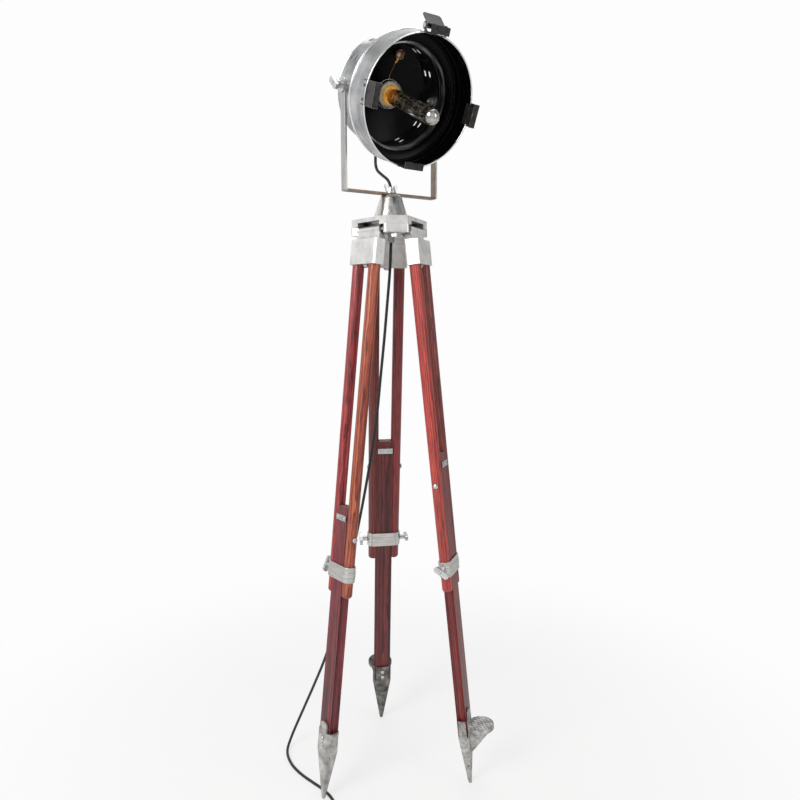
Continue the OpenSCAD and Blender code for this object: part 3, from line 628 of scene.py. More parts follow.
# %% Brushed aluminium strip
strap, tree, shader, coords = new_material("brushed aluminium strip", Metallic=1.0, Roughness=0.34)
flatten = node(tree, "Mapping", {"Vector": coords, "Scale": (0.05, 0.05, 1)})
hairlines = node(tree, "TexNoise", {"Vector": flatten, "Scale": per_mm(1.2), "Detail": 3})
strap_colour = node(tree, "ValToRGB", {"Fac": hairlines}, stops=[(0.3, "b7b6b3"), (0.7, "e2e1de")])
strap_bump = node(tree, "Bump", {"Height": hairlines, "Distance": 0.08 * MM, "Strength": 0.4})
connect(tree, shader, Base_Color=strap_colour, Normal=strap_bump)
keep("band_fl band_right band_rear", [strap], 0.8)
print("material:", strap.name)

# %% [markdown]
# The poles are turned hardwood, rubbed with a red stain and lacquered. On a turned pole
# the growth rings come to the surface at a slant and make long pointed arches. The same
# happens here: rings are drawn round a pith that lies outside the pole and leans a little,
# and the pole cuts through them. Stain sinks deeper between the rings, so those lines are
# darkest. Thin dark pores run along the grain. The lacquer is a coat: a clear layer with
# its own sharp highlight over the duller wood.

# %% Stained and lacquered wood
def stained_wood(name, dark, middle, light, pith, seed, ring_mm=3.2, coat=0.32):
    made, tree, shader, coords = new_material(
        name, Roughness=0.5, Coat_Weight=coat, Coat_Roughness=0.16
    )
    local = node(
        tree, "Mapping",
        {"Vector": coords, "Location": (pith[0] * MM, pith[1] * MM, seed),
         "Rotation": (0, math.radians(1.6), 0), "Scale": (1, 1, 0.12)},
    )
    rings = node(
        tree, "TexWave",
        {"Vector": local, "Scale": 2 * math.pi / (20 * ring_mm * MM),
         "Distortion": 5.5, "Detail": 3.0, "Detail Scale": 1.2},
        wave_type="RINGS", rings_direction="Z", wave_profile="SAW",
    )
    along = node(
        tree, "Mapping", {"Vector": coords, "Location": (0, 0, seed), "Scale": (1, 1, 0.03)}
    )
    pores = node(tree, "TexNoise", {"Vector": along, "Scale": per_mm(1.3), "Detail": 4})
    board = node(tree, "TexNoise", {"Vector": along, "Scale": per_mm(22), "Detail": 2})
    grain = node(
        tree, "ValToRGB", {"Fac": rings.outputs["Fac"]},
        stops=[(0.0, dark), (0.3, middle), (0.85, light), (1.0, middle)],
    )
    pore_lines = node(tree, "ValToRGB", {"Fac": pores}, stops=[(0.36, "3a2420"), (0.52, "ffffff")])
    patch = node(tree, "ValToRGB", {"Fac": board}, stops=[(0.3, "a89a98"), (0.65, "ffffff")])
    with_pores = node(
        tree, "Mix", {0: 0.6, 6: grain, 7: pore_lines}, data_type="RGBA", blend_type="MULTIPLY"
    )
    stain = node(
        tree, "Mix", {0: 0.8, 6: with_pores.outputs[2], 7: patch},
        data_type="RGBA", blend_type="MULTIPLY",
    )
    relief = node(tree, "Bump", {"Height": pore_lines, "Distance": 0.12 * MM, "Strength": 0.5})
    connect(tree, shader, Base_Color=stain.outputs[2], Normal=relief)
    return made


print("stained wood is made anew for each pole and bar")

# %% Poles
POLE_TOP, POLE_END, SHOULDER_END, POLE_DROP, BAND_DROP = 24, 22, 70, 738, 694
GAP_TOP, GAP_BAND = 27, 24.5
SPLAY = math.degrees(math.atan((GAP_TOP - GAP_BAND) / (BAND_DROP - 45)))
pole_looks = {
    ("fl", -1): ("6a141c", "b43038", "d65a54", (9, 16)),
    ("fl", 1): ("5c1c12", "a84830", "c86e46", (4, 15)),
    ("right", -1): ("701414", "b83632", "d65c4e", (14, 5)),
    ("right", 1): ("4c1814", "84342c", "a65044", (-12, 13)),
    ("rear", -1): ("4c1216", "8a2a30", "a8423e", (12, -9)),
    ("rear", 1): ("42120e", "7a2a24", "98403a", (-8, -14)),
}
for (leg, side), (dark, middle, light, pith) in pole_looks.items():
    place = LEG[leg] @ shift(
        LEG_OFFSET, side * (GAP_TOP + 45 * math.tan(math.radians(SPLAY))), 0
    ) @ turn("X", -side * SPLAY)
    label = f"pole_{leg}_{'a' if side < 0 else 'b'}"
    wood = stained_wood(f"stained pole wood {leg} {side}", dark, middle, light, pith, side + 3)
    end, top = POLE_END / 2, POLE_TOP / 2
    build = add_lathe(
        bmesh.new(),
        [(0, -POLE_DROP - 5), (end - 3.2, -POLE_DROP - 4.9), (end - 1.4, -POLE_DROP - 3.6),
         (end - 0.3, -POLE_DROP - 1.4), (end, -POLE_DROP), (top, -SHOULDER_END), (top, -32), (0, -32)],
        sides=40,
    )
    put(finish_mesh(build, label), label, place, "leg_" + leg, [wood], ["poles_" + leg])
print("six poles, splayed by", round(SPLAY, 2), "degrees")

# %% [markdown]
# The sliding lower leg is one flat bar with a round groove down each edge, so that it runs
# between the two poles. It was stained darker than the poles. The saw leaves the end
# grain open, and there the stain goes nearly grey, so the two ends get a material of their
# own.

# %% Lower bars
BAR_WIDTH, BAR_THICK, GROOVE_RADIUS, SHOE_TOP = 37, 22, 11.9, 1032
BAR_TOP = {"fl": 560, "right": 456, "rear": 456}
BAR_END = SHOE_TOP + 36

end_grain = mottled(
    "sawn end grain", 1.4, 5, [(0.3, "5b4a48"), (0.7, "96867f")], relief=(0.4, 0.5), Roughness=0.8
)


def bar_outline():
    half_x, half_y, reach = BAR_THICK / 2, BAR_WIDTH / 2, GAP_BAND + 0.2
    start = math.asin((reach - half_y) / GROOVE_RADIUS)
    outline = []
    for side in (1, -1):
        for k in range(15):
            angle = -(math.pi / 2 - start) + (math.pi - 2 * start) * k / 14
            x = GROOVE_RADIUS * math.sin(angle) * side
            y = side * (reach - GROOVE_RADIUS * math.cos(angle))
            outline.append((max(-half_x, min(half_x, x)), y))
    return outline


bar_looks = {
    "fl": ("3c0c10", "72202a", "96343c"),
    "right": ("420e10", "7c2424", "a23c34"),
    "rear": ("300a0c", "5e1a1e", "7e2e2e"),
}
for leg, (dark, middle, light) in bar_looks.items():
    wood = stained_wood(f"stained bar wood {leg}", dark, middle, light, (30, 6), 7, 4.5, 0.25)
    build = add_prism(bmesh.new(), bar_outline(), -BAR_END, -BAR_TOP[leg], 0.8, slots=(0, 1))
    put(
        finish_mesh(build, "bar_" + leg), "bar_" + leg, LEG[leg] @ shift(LEG_OFFSET, 0, 0),
        "lower_leg_" + leg, [wood, end_grain], ["lower_bar_" + leg],
    )
print("three bars")

# %% [markdown]
# The shoes are raw iron castings, never painted. Iron from a sand mould is rough all over,
# dark grey in the hollows and paler where boots and floors have rubbed it, with a few
# brown freckles of rust. It is far rougher than the aluminium, so it hardly mirrors.

# %% Raw cast iron
def cast_iron(name, dark, middle, light):
    made, tree, shader, coords = new_material(name, Metallic=0.85)
    cloud = node(tree, "TexNoise", {"Vector": coords, "Scale": per_mm(17), "Detail": 6})
    grit = node(tree, "TexNoise", {"Vector": coords, "Scale": per_mm(2.4), "Detail": 4})
    freckle = node(tree, "TexNoise", {"Vector": coords, "Scale": per_mm(6), "Detail": 5})
    skin = node(
        tree, "ValToRGB", {"Fac": cloud}, stops=[(0.32, dark), (0.5, middle), (0.68, light)]
    )
    rust_mask = node(tree, "MapRange", {"Value": freckle, "From Min": 0.62, "From Max": 0.72})
    rusty = node(tree, "Mix", {0: rust_mask, 6: skin, 7: srgb("6d5443")}, data_type="RGBA")
    rough = node(tree, "MapRange", {"Value": grit, "To Min": 0.42, "To Max": 0.7})
    bump = node(tree, "Bump", {"Height": grit, "Distance": 0.5 * MM, "Strength": 0.6})
    connect(tree, shader, Base_Color=rusty.outputs[2], Roughness=rough, Normal=bump)
    return made


keep("shoe_fl", [cast_iron("raw cast iron, rubbed", "9b9a98", "bab9b6", "d8d7d3")], 1.2)
keep("shoe_right", [cast_iron("raw cast iron", "8d8c8a", "b7b6b3", "dddcd9")], 1.0)
keep("shoe_rear", [cast_iron("raw cast iron, dark", "4a4947", "75736f", "a09e9a")], 1.0)
print("three cast shoes kept from the frame")

# %% [markdown]
# The yoke is flat steel bar, bent cold and plated. Outside it is a pale, even grey with
# faint drawing lines along the bar; its upright inner faces are coloured a darker, warm
# brownish grey. One material does both: it looks at whether the surface stands upright,
# and at how far from the yoke's middle it lies.

# %% Plated yoke steel
yoke_steel, tree, shader, coords = new_material("plated steel bar, brown inner faces", Metallic=1.0)
face = node(tree, "Mapping", {"Vector": coords, "Rotation": (0, 0, -math.radians(YAW))})
where = node(tree, "SeparateXYZ", {"Vector": face})
from_middle = node(tree, "Math", {0: where.outputs["X"]}, operation="ABSOLUTE")
inner_face = node(
    tree, "MapRange", {"Value": from_middle, "From Min": 105.6 * MM, "From Max": 104.9 * MM}
)
facing = node(tree, "NewGeometry")
up = node(tree, "SeparateXYZ", {"Vector": facing.outputs["True Normal"]})
upright = node(tree, "MapRange", {"Value": up.outputs["Z"], "From Min": 0.6, "From Max": 0.4})
brown_inner_part = node(tree, "Math", {0: inner_face, 1: upright}, operation="MULTIPLY")
drawn = node(tree, "Mapping", {"Vector": coords, "Scale": (1, 1, 0.04)})
lines = node(tree, "TexNoise", {"Vector": drawn, "Scale": per_mm(1.5), "Detail": 4})
cloud = node(tree, "TexNoise", {"Vector": coords, "Scale": per_mm(30), "Detail": 5})
plated = node(tree, "ValToRGB", {"Fac": lines}, stops=[(0.3, "9a9a98"), (0.7, "c9c8c5")])
# A darker, browner colour for the upright inner faces.
bare = node(tree, "ValToRGB", {"Fac": cloud}, stops=[(0.35, "6b5b4e"), (0.7, "978473")])
both = node(tree, "Mix", {0: brown_inner_part, 6: plated, 7: bare}, data_type="RGBA")
yoke_rough = node(tree, "MapRange", {"Value": cloud, "To Min": 0.28, "To Max": 0.5})
yoke_bump = node(tree, "Bump", {"Height": lines, "Distance": 0.08 * MM, "Strength": 0.4})
connect(tree, shader, Base_Color=both.outputs[2], Roughness=yoke_rough, Normal=yoke_bump)
keep("yoke", [yoke_steel], 0.5)
print("material:", yoke_steel.name)

# %% [markdown]
# The can is spun from aluminium sheet: a disc is pressed over a turning former, which
# leaves very fine rings. The outside was then brushed and has been handled for years, so
# pale and dull clouds wander over it. The inside is satin black enamel, so that no stray
# light leaves the mouth: a very dark skin that hardly reflects, with the faint ripple of
# sprayed paint.

# %% Spun aluminium, outside
can_outside, tree, shader, coords = new_material(
    "brushed spun aluminium", Metallic=1.0, Anisotropic=0.3
)
cloud = node(tree, "TexNoise", {"Vector": coords, "Scale": per_mm(38), "Detail": 6})
spin = node(tree, "Mapping", {"Vector": coords, "Scale": (0.02, 0.02, 1)})
rings = node(tree, "TexNoise", {"Vector": spin, "Scale": per_mm(1.4), "Detail": 3})
scratch_run = node(
    tree, "Mapping", {"Vector": coords, "Rotation": (0.5, 0.2, 0.4), "Scale": (1, 1, 0.08)}
)
scratches = node(tree, "TexNoise", {"Vector": scratch_run, "Scale": per_mm(4), "Detail": 6})
clouded = node(
    tree, "ValToRGB", {"Fac": cloud}, stops=[(0.3, "a2a3a6"), (0.5, "c6c7c9"), (0.7, "e2e3e3")]
)
ring_shade = node(tree, "ValToRGB", {"Fac": rings}, stops=[(0.3, "d2d2d2"), (0.7, "ffffff")])
brushed = node(
    tree, "Mix", {0: 0.7, 6: clouded, 7: ring_shade}, data_type="RGBA", blend_type="MULTIPLY"
)
haze = node(tree, "MapRange", {"Value": scratches, "To Min": 0.24, "To Max": 0.5})
can_bump = node(tree, "Bump", {"Height": rings, "Distance": 0.06 * MM, "Strength": 0.35})
dents = node(
    tree, "Bump", {"Height": cloud, "Distance": 1.0 * MM, "Strength": 0.5, "Normal": can_bump}
)
connect(tree, shader, Base_Color=brushed.outputs[2], Roughness=haze, Normal=dents)
print("material:", can_outside.name)

# %% Bright rolled edges
bright_edge = mottled(
    "polished rolled aluminium edge", 12, 3, [(0.3, "dcdddd"), (0.7, "f4f4f3")],
    rough=(0.1, 0.26), Metallic=1.0,
)
print("material:", bright_edge.name)

# %% Satin black enamel, inside
black_enamel = mottled(
    "satin black enamel", 18, 7, [(0.45, "030304"), (0.8, "09090b")],
    rough=(0.16, 0.36), relief=(0.08, 0.3), relief_mm=7, IOR=1.4, Specular_IOR_Level=0.14,
)
print("material:", black_enamel.name)

# %% [markdown]
# The front drum is turned with a raised bead just behind the flange, which stiffens it,
# and a rolled rim. The profile runs up the outside, round the rim, down the inside and
# back along the flange, and each step says which finish it wears.

# %% Front drum
FRONT, REAR, RIM, STEP, BACK, SHEET = 119, 100, 111, 47, 34, 1.5
FRONT_IN, REAR_IN, BEAD, RIDGE = FRONT - SHEET, REAR - SHEET, 54, 70


def arc(cx, cy, radius, start, end, steps=7):
    """Points of (radius, height) on an arc, in millimetres and degrees."""
    return [
        (cx + radius * math.cos(math.radians(a)), cy + radius * math.sin(math.radians(a)))
        for a in (start + (end - start) * k / steps for k in range(steps + 1))
    ]


outside = [(REAR_IN + 0.3, STEP - SHEET), (FRONT - 1.5, STEP - SHEET)]
outside += arc(FRONT - 1.5, STEP, 1.5, -90, 0, 4)
bead = arc(FRONT - 0.2, BEAD, 2.2, -84, 84, 8)
rim = [(FRONT, RIM - 2)] + arc(FRONT - 0.5, RIM - 0.6, 1.4, -60, 200, 9)
inside = [(FRONT_IN, RIM - 3), (FRONT_IN, RIDGE + 1.4)] + arc(FRONT_IN, RIDGE, 1.1, 90, 270, 6)
inside += [(FRONT_IN, RIDGE - 1.4), (FRONT_IN, BEAD + 2.2)]
inside += arc(FRONT_IN - 0.4, BEAD, 2.2, 80, -80, 6)
inside += [(FRONT_IN, BEAD - 2.2), (FRONT_IN, STEP + 1.5)]
inside += [(FRONT_IN - 1.5, STEP), (REAR_IN + 0.3, STEP)]
profile = outside + bead + rim + inside
slots = [0] * (len(outside) - 1) + [0] + [1] * (len(bead) - 1) + [0] + [1] * (len(rim) - 1)
slots += [2] * (len(profile) - len(slots))
front_drum = put(
    finish_mesh(add_lathe(bmesh.new(), profile, 192, slots, closed=True), "front_drum_spun", 50),
    "front_drum_spun", CAN, "can", [can_outside, bright_edge, black_enamel], ["front_drum"],
)
print("front drum:", len(front_drum.data.vertices), "points")

# %% [markdown]
# The rear drum carries the vents: slots in pairs, punched through the wall. They are cut
# here with a boolean, one cutter for all of them, which keeps the wall's thickness visible
# in every slot. Through the vents on the far side the photograph shows the white wall.

# %% Rear drum with its vents
VENT_ANGLES = [30, 60, 90, 120, 150, 210, 240, 300, 330]
VENT_ROWS = [-23, -6]
VENT_LENGTH, VENT_HEIGHT = 12, 5
profile = [(REAR_IN, STEP - SHEET), (REAR, STEP - SHEET), (REAR, -BACK + 4)]
profile += arc(REAR - 0.3, -BACK + 2, 1.3, 60, -120, 8)
profile += [(REAR_IN, -BACK + 1)]
wall = bpy.data.objects.new(
    "rear_wall", finish_mesh(add_lathe(bmesh.new(), profile, 192, closed=True), "rear_wall", 50)
)
wall_slots = [can_outside, black_enamel]
for polygon in wall.data.polygons:
    middle = polygon.center
    polygon.material_index = 1 if math.hypot(middle.x, middle.y) < (REAR_IN + 0.2) * MM else 0
cutter = bmesh.new()
for angle in VENT_ANGLES:
    for row in VENT_ROWS:
        slot_hole = bmesh.new()
        outline = [
            (VENT_LENGTH / 4 * (c + math.copysign(1, c)), VENT_HEIGHT / 2 * s) for c, s in (
                (math.cos(2 * math.pi * k / 24), math.sin(2 * math.pi * k / 24)) for k in range(24)
            )
        ]
        add_prism(slot_hole, outline, REAR - 20, REAR + 20)
        slot_hole.transform(shift(0, 0, row) @ turn("Z", angle) @ turn("Y", 90) @ turn("Z", 90))
        merge(cutter, slot_hole)
cut = bpy.data.objects.new("vent_cutter", finish_mesh(cutter, "vent_cutter"))
for thing in (wall, cut):
    bpy.context.scene.collection.objects.link(thing)
    for material in wall_slots:
        thing.data.materials.append(material)
for polygon in cut.data.polygons:
    polygon.material_index = 0
boolean = wall.modifiers.new("vents", "BOOLEAN")
boolean.object, boolean.operation, boolean.solver = cut, "DIFFERENCE", "EXACT"
bpy.context.view_layer.update()
cut_mesh = bpy.data.meshes.new_from_object(wall.evaluated_get(bpy.context.evaluated_depsgraph_get()))
for thing in (wall, cut):
    bpy.data.objects.remove(thing)
cut_mesh.materials.clear()
cut_mesh.set_sharp_from_angle(angle=math.radians(35))
rear_drum = put(cut_mesh, "rear_drum_spun", CAN, "can", wall_slots, ["rear_drum"])
print("rear drum:", len(rear_drum.data.polygons), "faces after cutting", len(VENT_ANGLES) * 2, "vents")

# %% Rear cap and step ring
CAP_DEPTH = 20
CAP_ARC = (REAR**2 + CAP_DEPTH**2) / (2 * CAP_DEPTH)
cap_middle = -BACK + 0.8 - CAP_DEPTH + CAP_ARC
outer = [
    (r, cap_middle - math.sqrt(CAP_ARC**2 - r * r)) for r in (0, 8, 20, 35, 50, 65, 80, 90, 99.2)
]
inner = [
    (r, cap_middle - math.sqrt((CAP_ARC - SHEET) ** 2 - r * r))
    for r in (98.2, 90, 80, 65, 50, 35, 20, 8, 0)
]
slots = [0] * (len(outer) - 1) + [1] * len(inner)
put(
    finish_mesh(add_lathe(bmesh.new(), outer + inner, 128, slots), "rear_cap_spun", 50),
    "rear_cap_spun", CAN, "can", [can_outside, black_enamel], ["rear_cap"],
)

spun_ring, tree, shader, coords = new_material("turned aluminium", Metallic=1.0, Roughness=0.3)
groove = node(tree, "Mapping", {"Vector": coords, "Scale": (0.02, 0.02, 1)})
tool_marks = node(tree, "TexNoise", {"Vector": groove, "Scale": per_mm(1.0), "Detail": 2})
ring_colour = node(
    tree, "ValToRGB", {"Fac": tool_marks},
    stops=[(0.35, "3c3c3d"), (0.52, "6e6f70"), (0.68, "c2c3c3")],
)
ring_bump = node(tree, "Bump", {"Height": tool_marks, "Distance": 0.2 * MM, "Strength": 0.6})
connect(tree, shader, Base_Color=ring_colour, Normal=ring_bump)
step_profile = [
    (94, 28), (98.4, 28), (98.4, 49), (96.4, 49), (96.4, 46.6), (95.6, 46.6),
    (95.6, 43), (95, 43), (95, 39), (94.6, 39), (94.6, 34), (94, 34),
]
put(
    finish_mesh(add_lathe(bmesh.new(), step_profile, 160, closed=True), "step_ring_turned"),
    "step_ring_turned", CAN, "can", [spun_ring], ["step_ring"],
)
print("rear cap and step ring")

# %% [markdown]
# The clips that hold a colour frame in front of the can, and the latch that locks it, are
# folded from sheet steel and blackened: heated and dipped in oil, which gives a satin
# brown-black. The edges are rubbed bright by use.

# %% Blackened steel with rubbed edges
blackened = mottled(
    "oil-blackened steel", 9, 5, [(0.3, "252323"), (0.75, "474444")],
    rough=(0.28, 0.5), relief=(0.3, 0.3), Metallic=0.6,
)
rubbed_edge = mottled(
    "rubbed steel edge", 3, 4, [(0.35, "5a5857"), (0.65, "bdbab7")], Metallic=1.0, Roughness=0.35
)
keep("frame_clips latch_base latch_lever", [blackened, rubbed_edge], 0.45)
keep("holder_bracket", [blackened], 0.3)
keep("cord_gland", [moulded_pvc], 0.4)
print("clips, latch, bracket and gland kept from the frame")

# %% [markdown]
# The lamp holder is a brass cup with a white glazed ceramic ring, and thin wire rings
# round it that once held a shade. In the photograph the brass glows amber. Little of this
# scene's light reaches the cup inside the black can, so a faint emission in the brass's
# own colour stands in for that glow.

# %% Brass and ceramic
brass = mottled(
    "polished brass", 7, 4, [(0.3, "d8a545"), (0.7, "f6d685")],
    rough=(0.42, 0.62), Metallic=0.6, Emission_Strength=0.22,
)
ceramic = mottled(
    "white glazed ceramic", 10, 4, [(0.3, "b9b3a8"), (0.7, "dcd8cf")], Roughness=0.18, IOR=1.52
)
cup = [(0, 0), (5, 0), (14, 0.2), (15, 1.2), (15, 8), (18.2, 18.4), (19, 20.5), (19, 35.2)]
cup += arc(18.3, 35.3, 0.7, 0, 180, 5) + [(14, 25), (13.4, 24), (13.4, 6), (0, 6)]
put(
    finish_mesh(add_lathe(bmesh.new(), cup, 72), "holder_cup"), "holder_cup", BULB, "can",
    [brass], ["lamp_holder"],
)
collar = [(19.1, 21)] + arc(22.6, 22.4, 1.4, -90, 0, 4) + arc(21, 25, 3, 0, 90, 6) + [(19.1, 28)]
put(
    finish_mesh(add_lathe(bmesh.new(), collar, 72, closed=True), "ceramic_collar"),
    "ceramic_collar", BULB, "can", [ceramic], ["holder_ring"],
)
keep("bulb_cap", [brass], 0)


def ring_points(radius, height, count=64, wobble=0.0):
    return [
        Vector((radius * math.cos(a), radius * math.sin(a), height + wobble * math.sin(3 * a))) * MM
        for a in (2 * math.pi * k / count for k in range(count + 1))
    ]


for number, (radius, height) in enumerate(((25.2, 30), (27.4, 20))):
    put(
        wire(f"shade_wire_{number}", ring_points(radius, height, wobble=0.3), 1.1, 3),
        f"shade_wire_{number}", BULB, "can", [zinc],
    )
print("brass holder, ceramic collar and two shade wires")

# %% [markdown]
# The bulb is a tubular squirrel-cage lamp: a clear tube, a glass stem inside, and a long
# carbon thread wound up and down in a cage round it. The lamp is off, and a trace of
# emission only keeps so thin a thread visible in the dark can. Near its foot the glass and
# the getter look golden; its round tip mirrors the whole studio and looks silver. The glass
# is a hollow body with two surfaces, because light bends once at each of them.

# %% Glass
bulb_glass, tree, shader, coords = new_material(
    "clear lamp glass", Roughness=0.02, IOR=1.45, Transmission_Weight=1.0
)
height = node(tree, "SeparateXYZ", {"Vector": coords})
up_tube = node(
    tree, "MapRange", {"Value": height.outputs["Z"], "From Min": 32 * MM, "From Max": 110 * MM}
)
tint = node(
    tree, "ValToRGB", {"Fac": up_tube}, stops=[(0.0, "feeec4"), (0.4, "fff8e8"), (0.9, "ffffff")]
)
tip_silver = node(
    tree, "MapRange",
    {"Value": height.outputs["Z"], "From Min": 182 * MM, "From Max": 204 * MM, "To Max": 0.3},
)
connect(tree, shader, Base_Color=tint, Metallic=tip_silver)

BULB_RADIUS, BULB_LENGTH, GLASS_FOOT = 15.5, 172, 32
straight = GLASS_FOOT + BULB_LENGTH - BULB_RADIUS
outer = [(0, GLASS_FOOT), (11.4, GLASS_FOOT), (12.6, GLASS_FOOT + 1), (12.6, GLASS_FOOT + 4),
         (14.2, GLASS_FOOT + 8.5), (15.3, GLASS_FOOT + 12.5), (BULB_RADIUS, GLASS_FOOT + 15)]
outer += arc(0, straight, BULB_RADIUS, 0, 90, 14)
inner = arc(0, straight, BULB_RADIUS - 1, 90, 0, 14)
inner += [(BULB_RADIUS - 1, GLASS_FOOT + 15), (14.2, GLASS_FOOT + 12.8), (13.1, GLASS_FOOT + 8.9),
          (11.6, GLASS_FOOT + 4.4), (11.4, GLASS_FOOT + 1.2), (0, GLASS_FOOT + 1)]
put(
    finish_mesh(add_lathe(bmesh.new(), outer + inner, 96), "bulb_tube", 60), "bulb_tube", BULB,
    "can", [bulb_glass], ["bulb_glass"],
)
print("glass tube", BULB_LENGTH, "mm long and", 2 * BULB_RADIUS, "mm thick")

# %% Stem, supports and thread
stem_glass, tree, shader, coords = new_material(
    "pressed stem glass", Roughness=0.05, IOR=1.47, Transmission_Weight=1.0
)
height = node(tree, "SeparateXYZ", {"Vector": coords})
up_stem = node(
    tree, "MapRange", {"Value": height.outputs["Z"], "From Min": 34 * MM, "From Max": 80 * MM}
)
stem_colour = node(
    tree, "ValToRGB", {"Fac": up_stem}, stops=[(0.0, "f0b24a"), (0.5, "fbe6bd"), (1.0, "ffffff")]
)
connect(tree, shader, Base_Color=stem_colour)
stem = [(0, 33.2), (10.6, 33.4), (9.6, 36), (7, 39), (4.4, 44), (3.4, 50), (3, 62), (2, 66),
        (1.2, GLASS_FOOT + BULB_LENGTH - 34), (0, GLASS_FOOT + BULB_LENGTH - 33.6)]
put(
    finish_mesh(add_lathe(bmesh.new(), stem, 48), "bulb_stem_blown", 50), "bulb_stem_blown", BULB,
    "can", [stem_glass], ["bulb_stem"],
)

thread_wire = mottled(
    "carbon thread", 14, 2, [(0.3, "c9b591"), (0.7, "f7f0e2")],
    Metallic=0.6, Roughness=0.4, Emission_Strength=0.1,
)


def cage_thread():
    """A thread that climbs and falls round the stem, with small kinks at its hooks."""
    points = []
    strands, low, high = 6, GLASS_FOOT + 38, GLASS_FOOT + BULB_LENGTH - 46
    for strand in range(strands + 1):
        angle = 2 * math.pi * strand / strands
        for k in range(16):
            climb = k / 15 if strand % 2 == 0 else 1 - k / 15
            lean = angle + 0.5 * (climb - 0.5) + 0.16 * math.sin(9 * math.pi * climb)
            radius = 8.4 + 2.0 * math.sin(math.pi * climb) + 0.7 * math.sin(14 * math.pi * climb)
            points.append(
                Vector((radius * math.cos(lean), radius * math.sin(lean), low + (high - low) * climb))
                * MM
            )
    return points


put(
    wire("cage_thread", cage_thread(), 0.5, 2), "cage_thread", BULB, "can", [thread_wire],
    ["filament"],
)
for level, spread in ((66, 8.6), (100, 10.6), (136, 10.6), (162, 8.6)):
    for k in range(5):
        angle = 2 * math.pi * (k + level / 90) / 5
        reach = Vector((math.cos(angle), math.sin(angle), 0))
        hook = [Vector((0, 0, level)), reach * spread * 0.6 + Vector((0, 0, level + 1.5)),
                reach * spread + Vector((0, 0, level + 3)),
                reach * (spread + 0.8) + Vector((0, 0, level + 1.2))]
        put(
            wire("hook", [p * MM for p in hook], 0.45, 2), f"thread_hook_{level}_{k}", BULB, "can",
            [thread_wire],
        )
print("bulb with", len(cage_thread()), "points of thread")

# %% [markdown]
# An earth lead ends inside the can: bare copper is curled round a screw in the rear cap,
# a brass ferrule grips it, and a thin wire runs down to the lamp holder.

# %% Earth lead
copper = mottled(
    "bare copper wire", 4, 3, [(0.3, "8c4a24"), (0.7, "e39a62")], Metallic=1.0, Roughness=0.28
)
SCREW = (22, 72)
screw = [(0, -29), (4, -29.2), (5.4, -30), (5.4, -31.6), (4, -31.8), (4, -41)]
screw_mesh = finish_mesh(add_lathe(bmesh.new(), screw, 32), "earth_screw")
put(screw_mesh, "earth_screw", CAN @ shift(*SCREW, 0), "can", [zinc], ["earth_wire"])


def curl(turns, start_radius, end_radius, low, high, lean):
    """Loose loops of wire round the earth screw."""
    points = []
    for k in range(int(turns * 20) + 1):
        part = k / (turns * 20)
        angle = 2 * math.pi * part * turns + lean
        radius = start_radius + (end_radius - start_radius) * part
        points.append(
            Vector((SCREW[0] + radius * math.cos(angle), SCREW[1] + 1.15 * radius * math.sin(angle),
                    low + (high - low) * part + 1.4 * math.sin(angle))) * MM
        )
    return points


ferrule_line = smooth_route([(19, 66, -27), (16, 61, -26), (13, 56, -25.5)], 4)
lead_line = smooth_route([(13, 56, -25.5), (8, 44, -24), (3, 30, -22), (2, 19.5, -20)], 6)
for name, line, thickness, metal, finish in (
    ("copper_curl", curl(2.6, 6.2, 9.0, -33, -25, 0.4), 1.5, copper, "lamp_holder_brass"),
    ("copper_tail", curl(1.3, 8.6, 6.6, -29, -22, 2.2), 1.0, copper, "lamp_holder_brass"),
    ("earth_washer", curl(1.0, 8.0, 8.0, -30, -30, 0.0), 1.2, zinc, "zinc_plated_steel"),
    ("earth_ferrule", ferrule_line, 3.0, brass, "lamp_holder_brass"),
    ("earth_lead", lead_line, 1.1, copper, "lamp_holder_brass"),
):
    put(wire(name, line, thickness, 4), name, CAN, "can", [metal])
print("earth lead")

# %% [markdown]
# The floor and the wall of a product picture are one white sweep. The floor still has to
# keep the lamp's soft shadow, so near the lamp it is a pale matt surface that is only
# partly lifted towards white for the camera, and further out it fades into plain white.
# The lift works on camera rays alone, so the floor lights the lamp as real paper would.

# %% Floor
sweep, tree, shader, coords = new_material("white paper sweep", Roughness=0.7)
fibre = node(tree, "TexNoise", {"Vector": coords, "Scale": per_mm(3), "Detail": 3})
paper_colour = node(tree, "ValToRGB", {"Fac": fibre}, stops=[(0.3, "ececeb"), (0.7, "f0f0ef")])
connect(tree, shader, Base_Color=paper_colour)
far = node(tree, "VectorMath", {0: coords}, operation="LENGTH")
lift = node(
    tree, "MapRange",
    {"Value": far.outputs["Value"], "From Min": 0.35, "From Max": 1.3, "To Min": 0.66, "To Max": 1.0},
    interpolation_type="SMOOTHSTEP",
)
ray = node(tree, "LightPath")
seen = node(tree, "Math", {0: ray, 1: lift}, operation="MULTIPLY")
white = node(tree, "Emission", {"Color": srgb("fdfdfd"), "Strength": 1.0})
blend = node(tree, "MixShader", {0: seen, 1: shader.outputs["BSDF"], 2: white})
tree.links.new(output(blend), tree.nodes["Material Output"].inputs["Surface"])
floor_build = bmesh.new()
bmesh.ops.create_circle(floor_build, cap_ends=True, segments=96, radius=9)
floor = bpy.data.objects.new("floor", finish_mesh(floor_build, "floor"))
floor.data.materials.append(sweep)
floor.location.z = -0.0002
bpy.context.scene.collection.objects.link(floor)
print("floor of", sweep.name)

# %% [markdown]
# The studio: a white wall behind the lamp, a slightly darker one behind the camera, grey on
# the right and under the ceiling. A large soft box hangs high on the left, a weak one on
# the right and one overhead. Polished metal shows the room it stands in, so the contrast
# between white and grey walls is what gives the castings their shape.

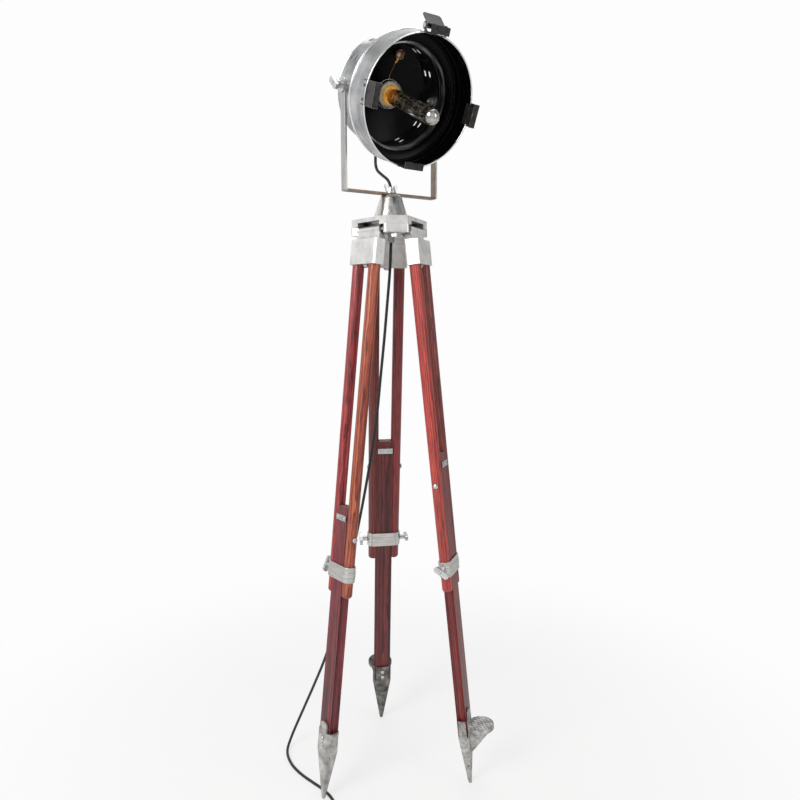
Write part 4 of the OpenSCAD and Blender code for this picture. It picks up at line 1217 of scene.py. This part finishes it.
# %% World and lamps
world = bpy.data.worlds.new("studio")
bpy.context.scene.world = world
world.use_nodes = True
tree = world.node_tree
tree.nodes.clear()
way = node(tree, "TexCoord")
toward = node(tree, "SeparateXYZ", {"Vector": way.outputs["Generated"]})
wall_light = node(
    tree, "MapRange",
    {"Value": toward.outputs["Y"], "From Min": -0.2, "From Max": 0.5, "To Min": 0.78, "To Max": 0.98},
    interpolation_type="SMOOTHSTEP",
)
dark_side = node(
    tree, "MapRange",
    {"Value": toward.outputs["X"], "From Min": 0.35, "From Max": 0.75, "To Min": 1.0, "To Max": 0.42},
    interpolation_type="SMOOTHSTEP",
)
ceiling = node(
    tree, "MapRange",
    {"Value": toward.outputs["Z"], "From Min": 0.25, "From Max": 0.85, "To Min": 1.0, "To Max": 0.5},
    interpolation_type="SMOOTHSTEP",
)
sides = node(tree, "Math", {0: wall_light, 1: dark_side}, operation="MULTIPLY")
walls = node(tree, "Math", {0: sides, 1: ceiling}, operation="MULTIPLY")
room = node(tree, "Background", {"Color": srgb("ffffff"), "Strength": walls})
backdrop = node(tree, "Background", {"Color": srgb("fdfdfd"), "Strength": 1.0})
ray = node(tree, "LightPath")
shown = node(tree, "MixShader", {0: ray, 1: room, 2: backdrop})
node(tree, "OutputWorld", {"Surface": shown})


def soft_box(name, location, target, width, height, watts):
    lamp = bpy.data.lights.new(name, "AREA")
    lamp.shape, lamp.size, lamp.size_y, lamp.energy = "RECTANGLE", width, height, watts
    thing = bpy.data.objects.new(name, lamp)
    thing.location = location
    thing.rotation_euler = (Vector(target) - Vector(location)).to_track_quat("-Z", "Y").to_euler()
    bpy.context.scene.collection.objects.link(thing)
    return thing


soft_box("key_box", (-1.7, -2.1, 2.3), (0, 0, 0.9), 1.5, 1.8, 54)
soft_box("fill_box", (2.3, -1.5, 1.7), (0, 0, 0.9), 1.0, 1.6, 12)
soft_box("top_box", (0.2, 0.3, 3.4), (0, 0, 0.8), 1.6, 1.6, 20)
print("studio lit")

# %% [markdown]
# Look: the picture has to keep plain colours, so the view transform is Standard.

# %% Look
bpy.context.scene.view_settings.view_transform = "Standard"
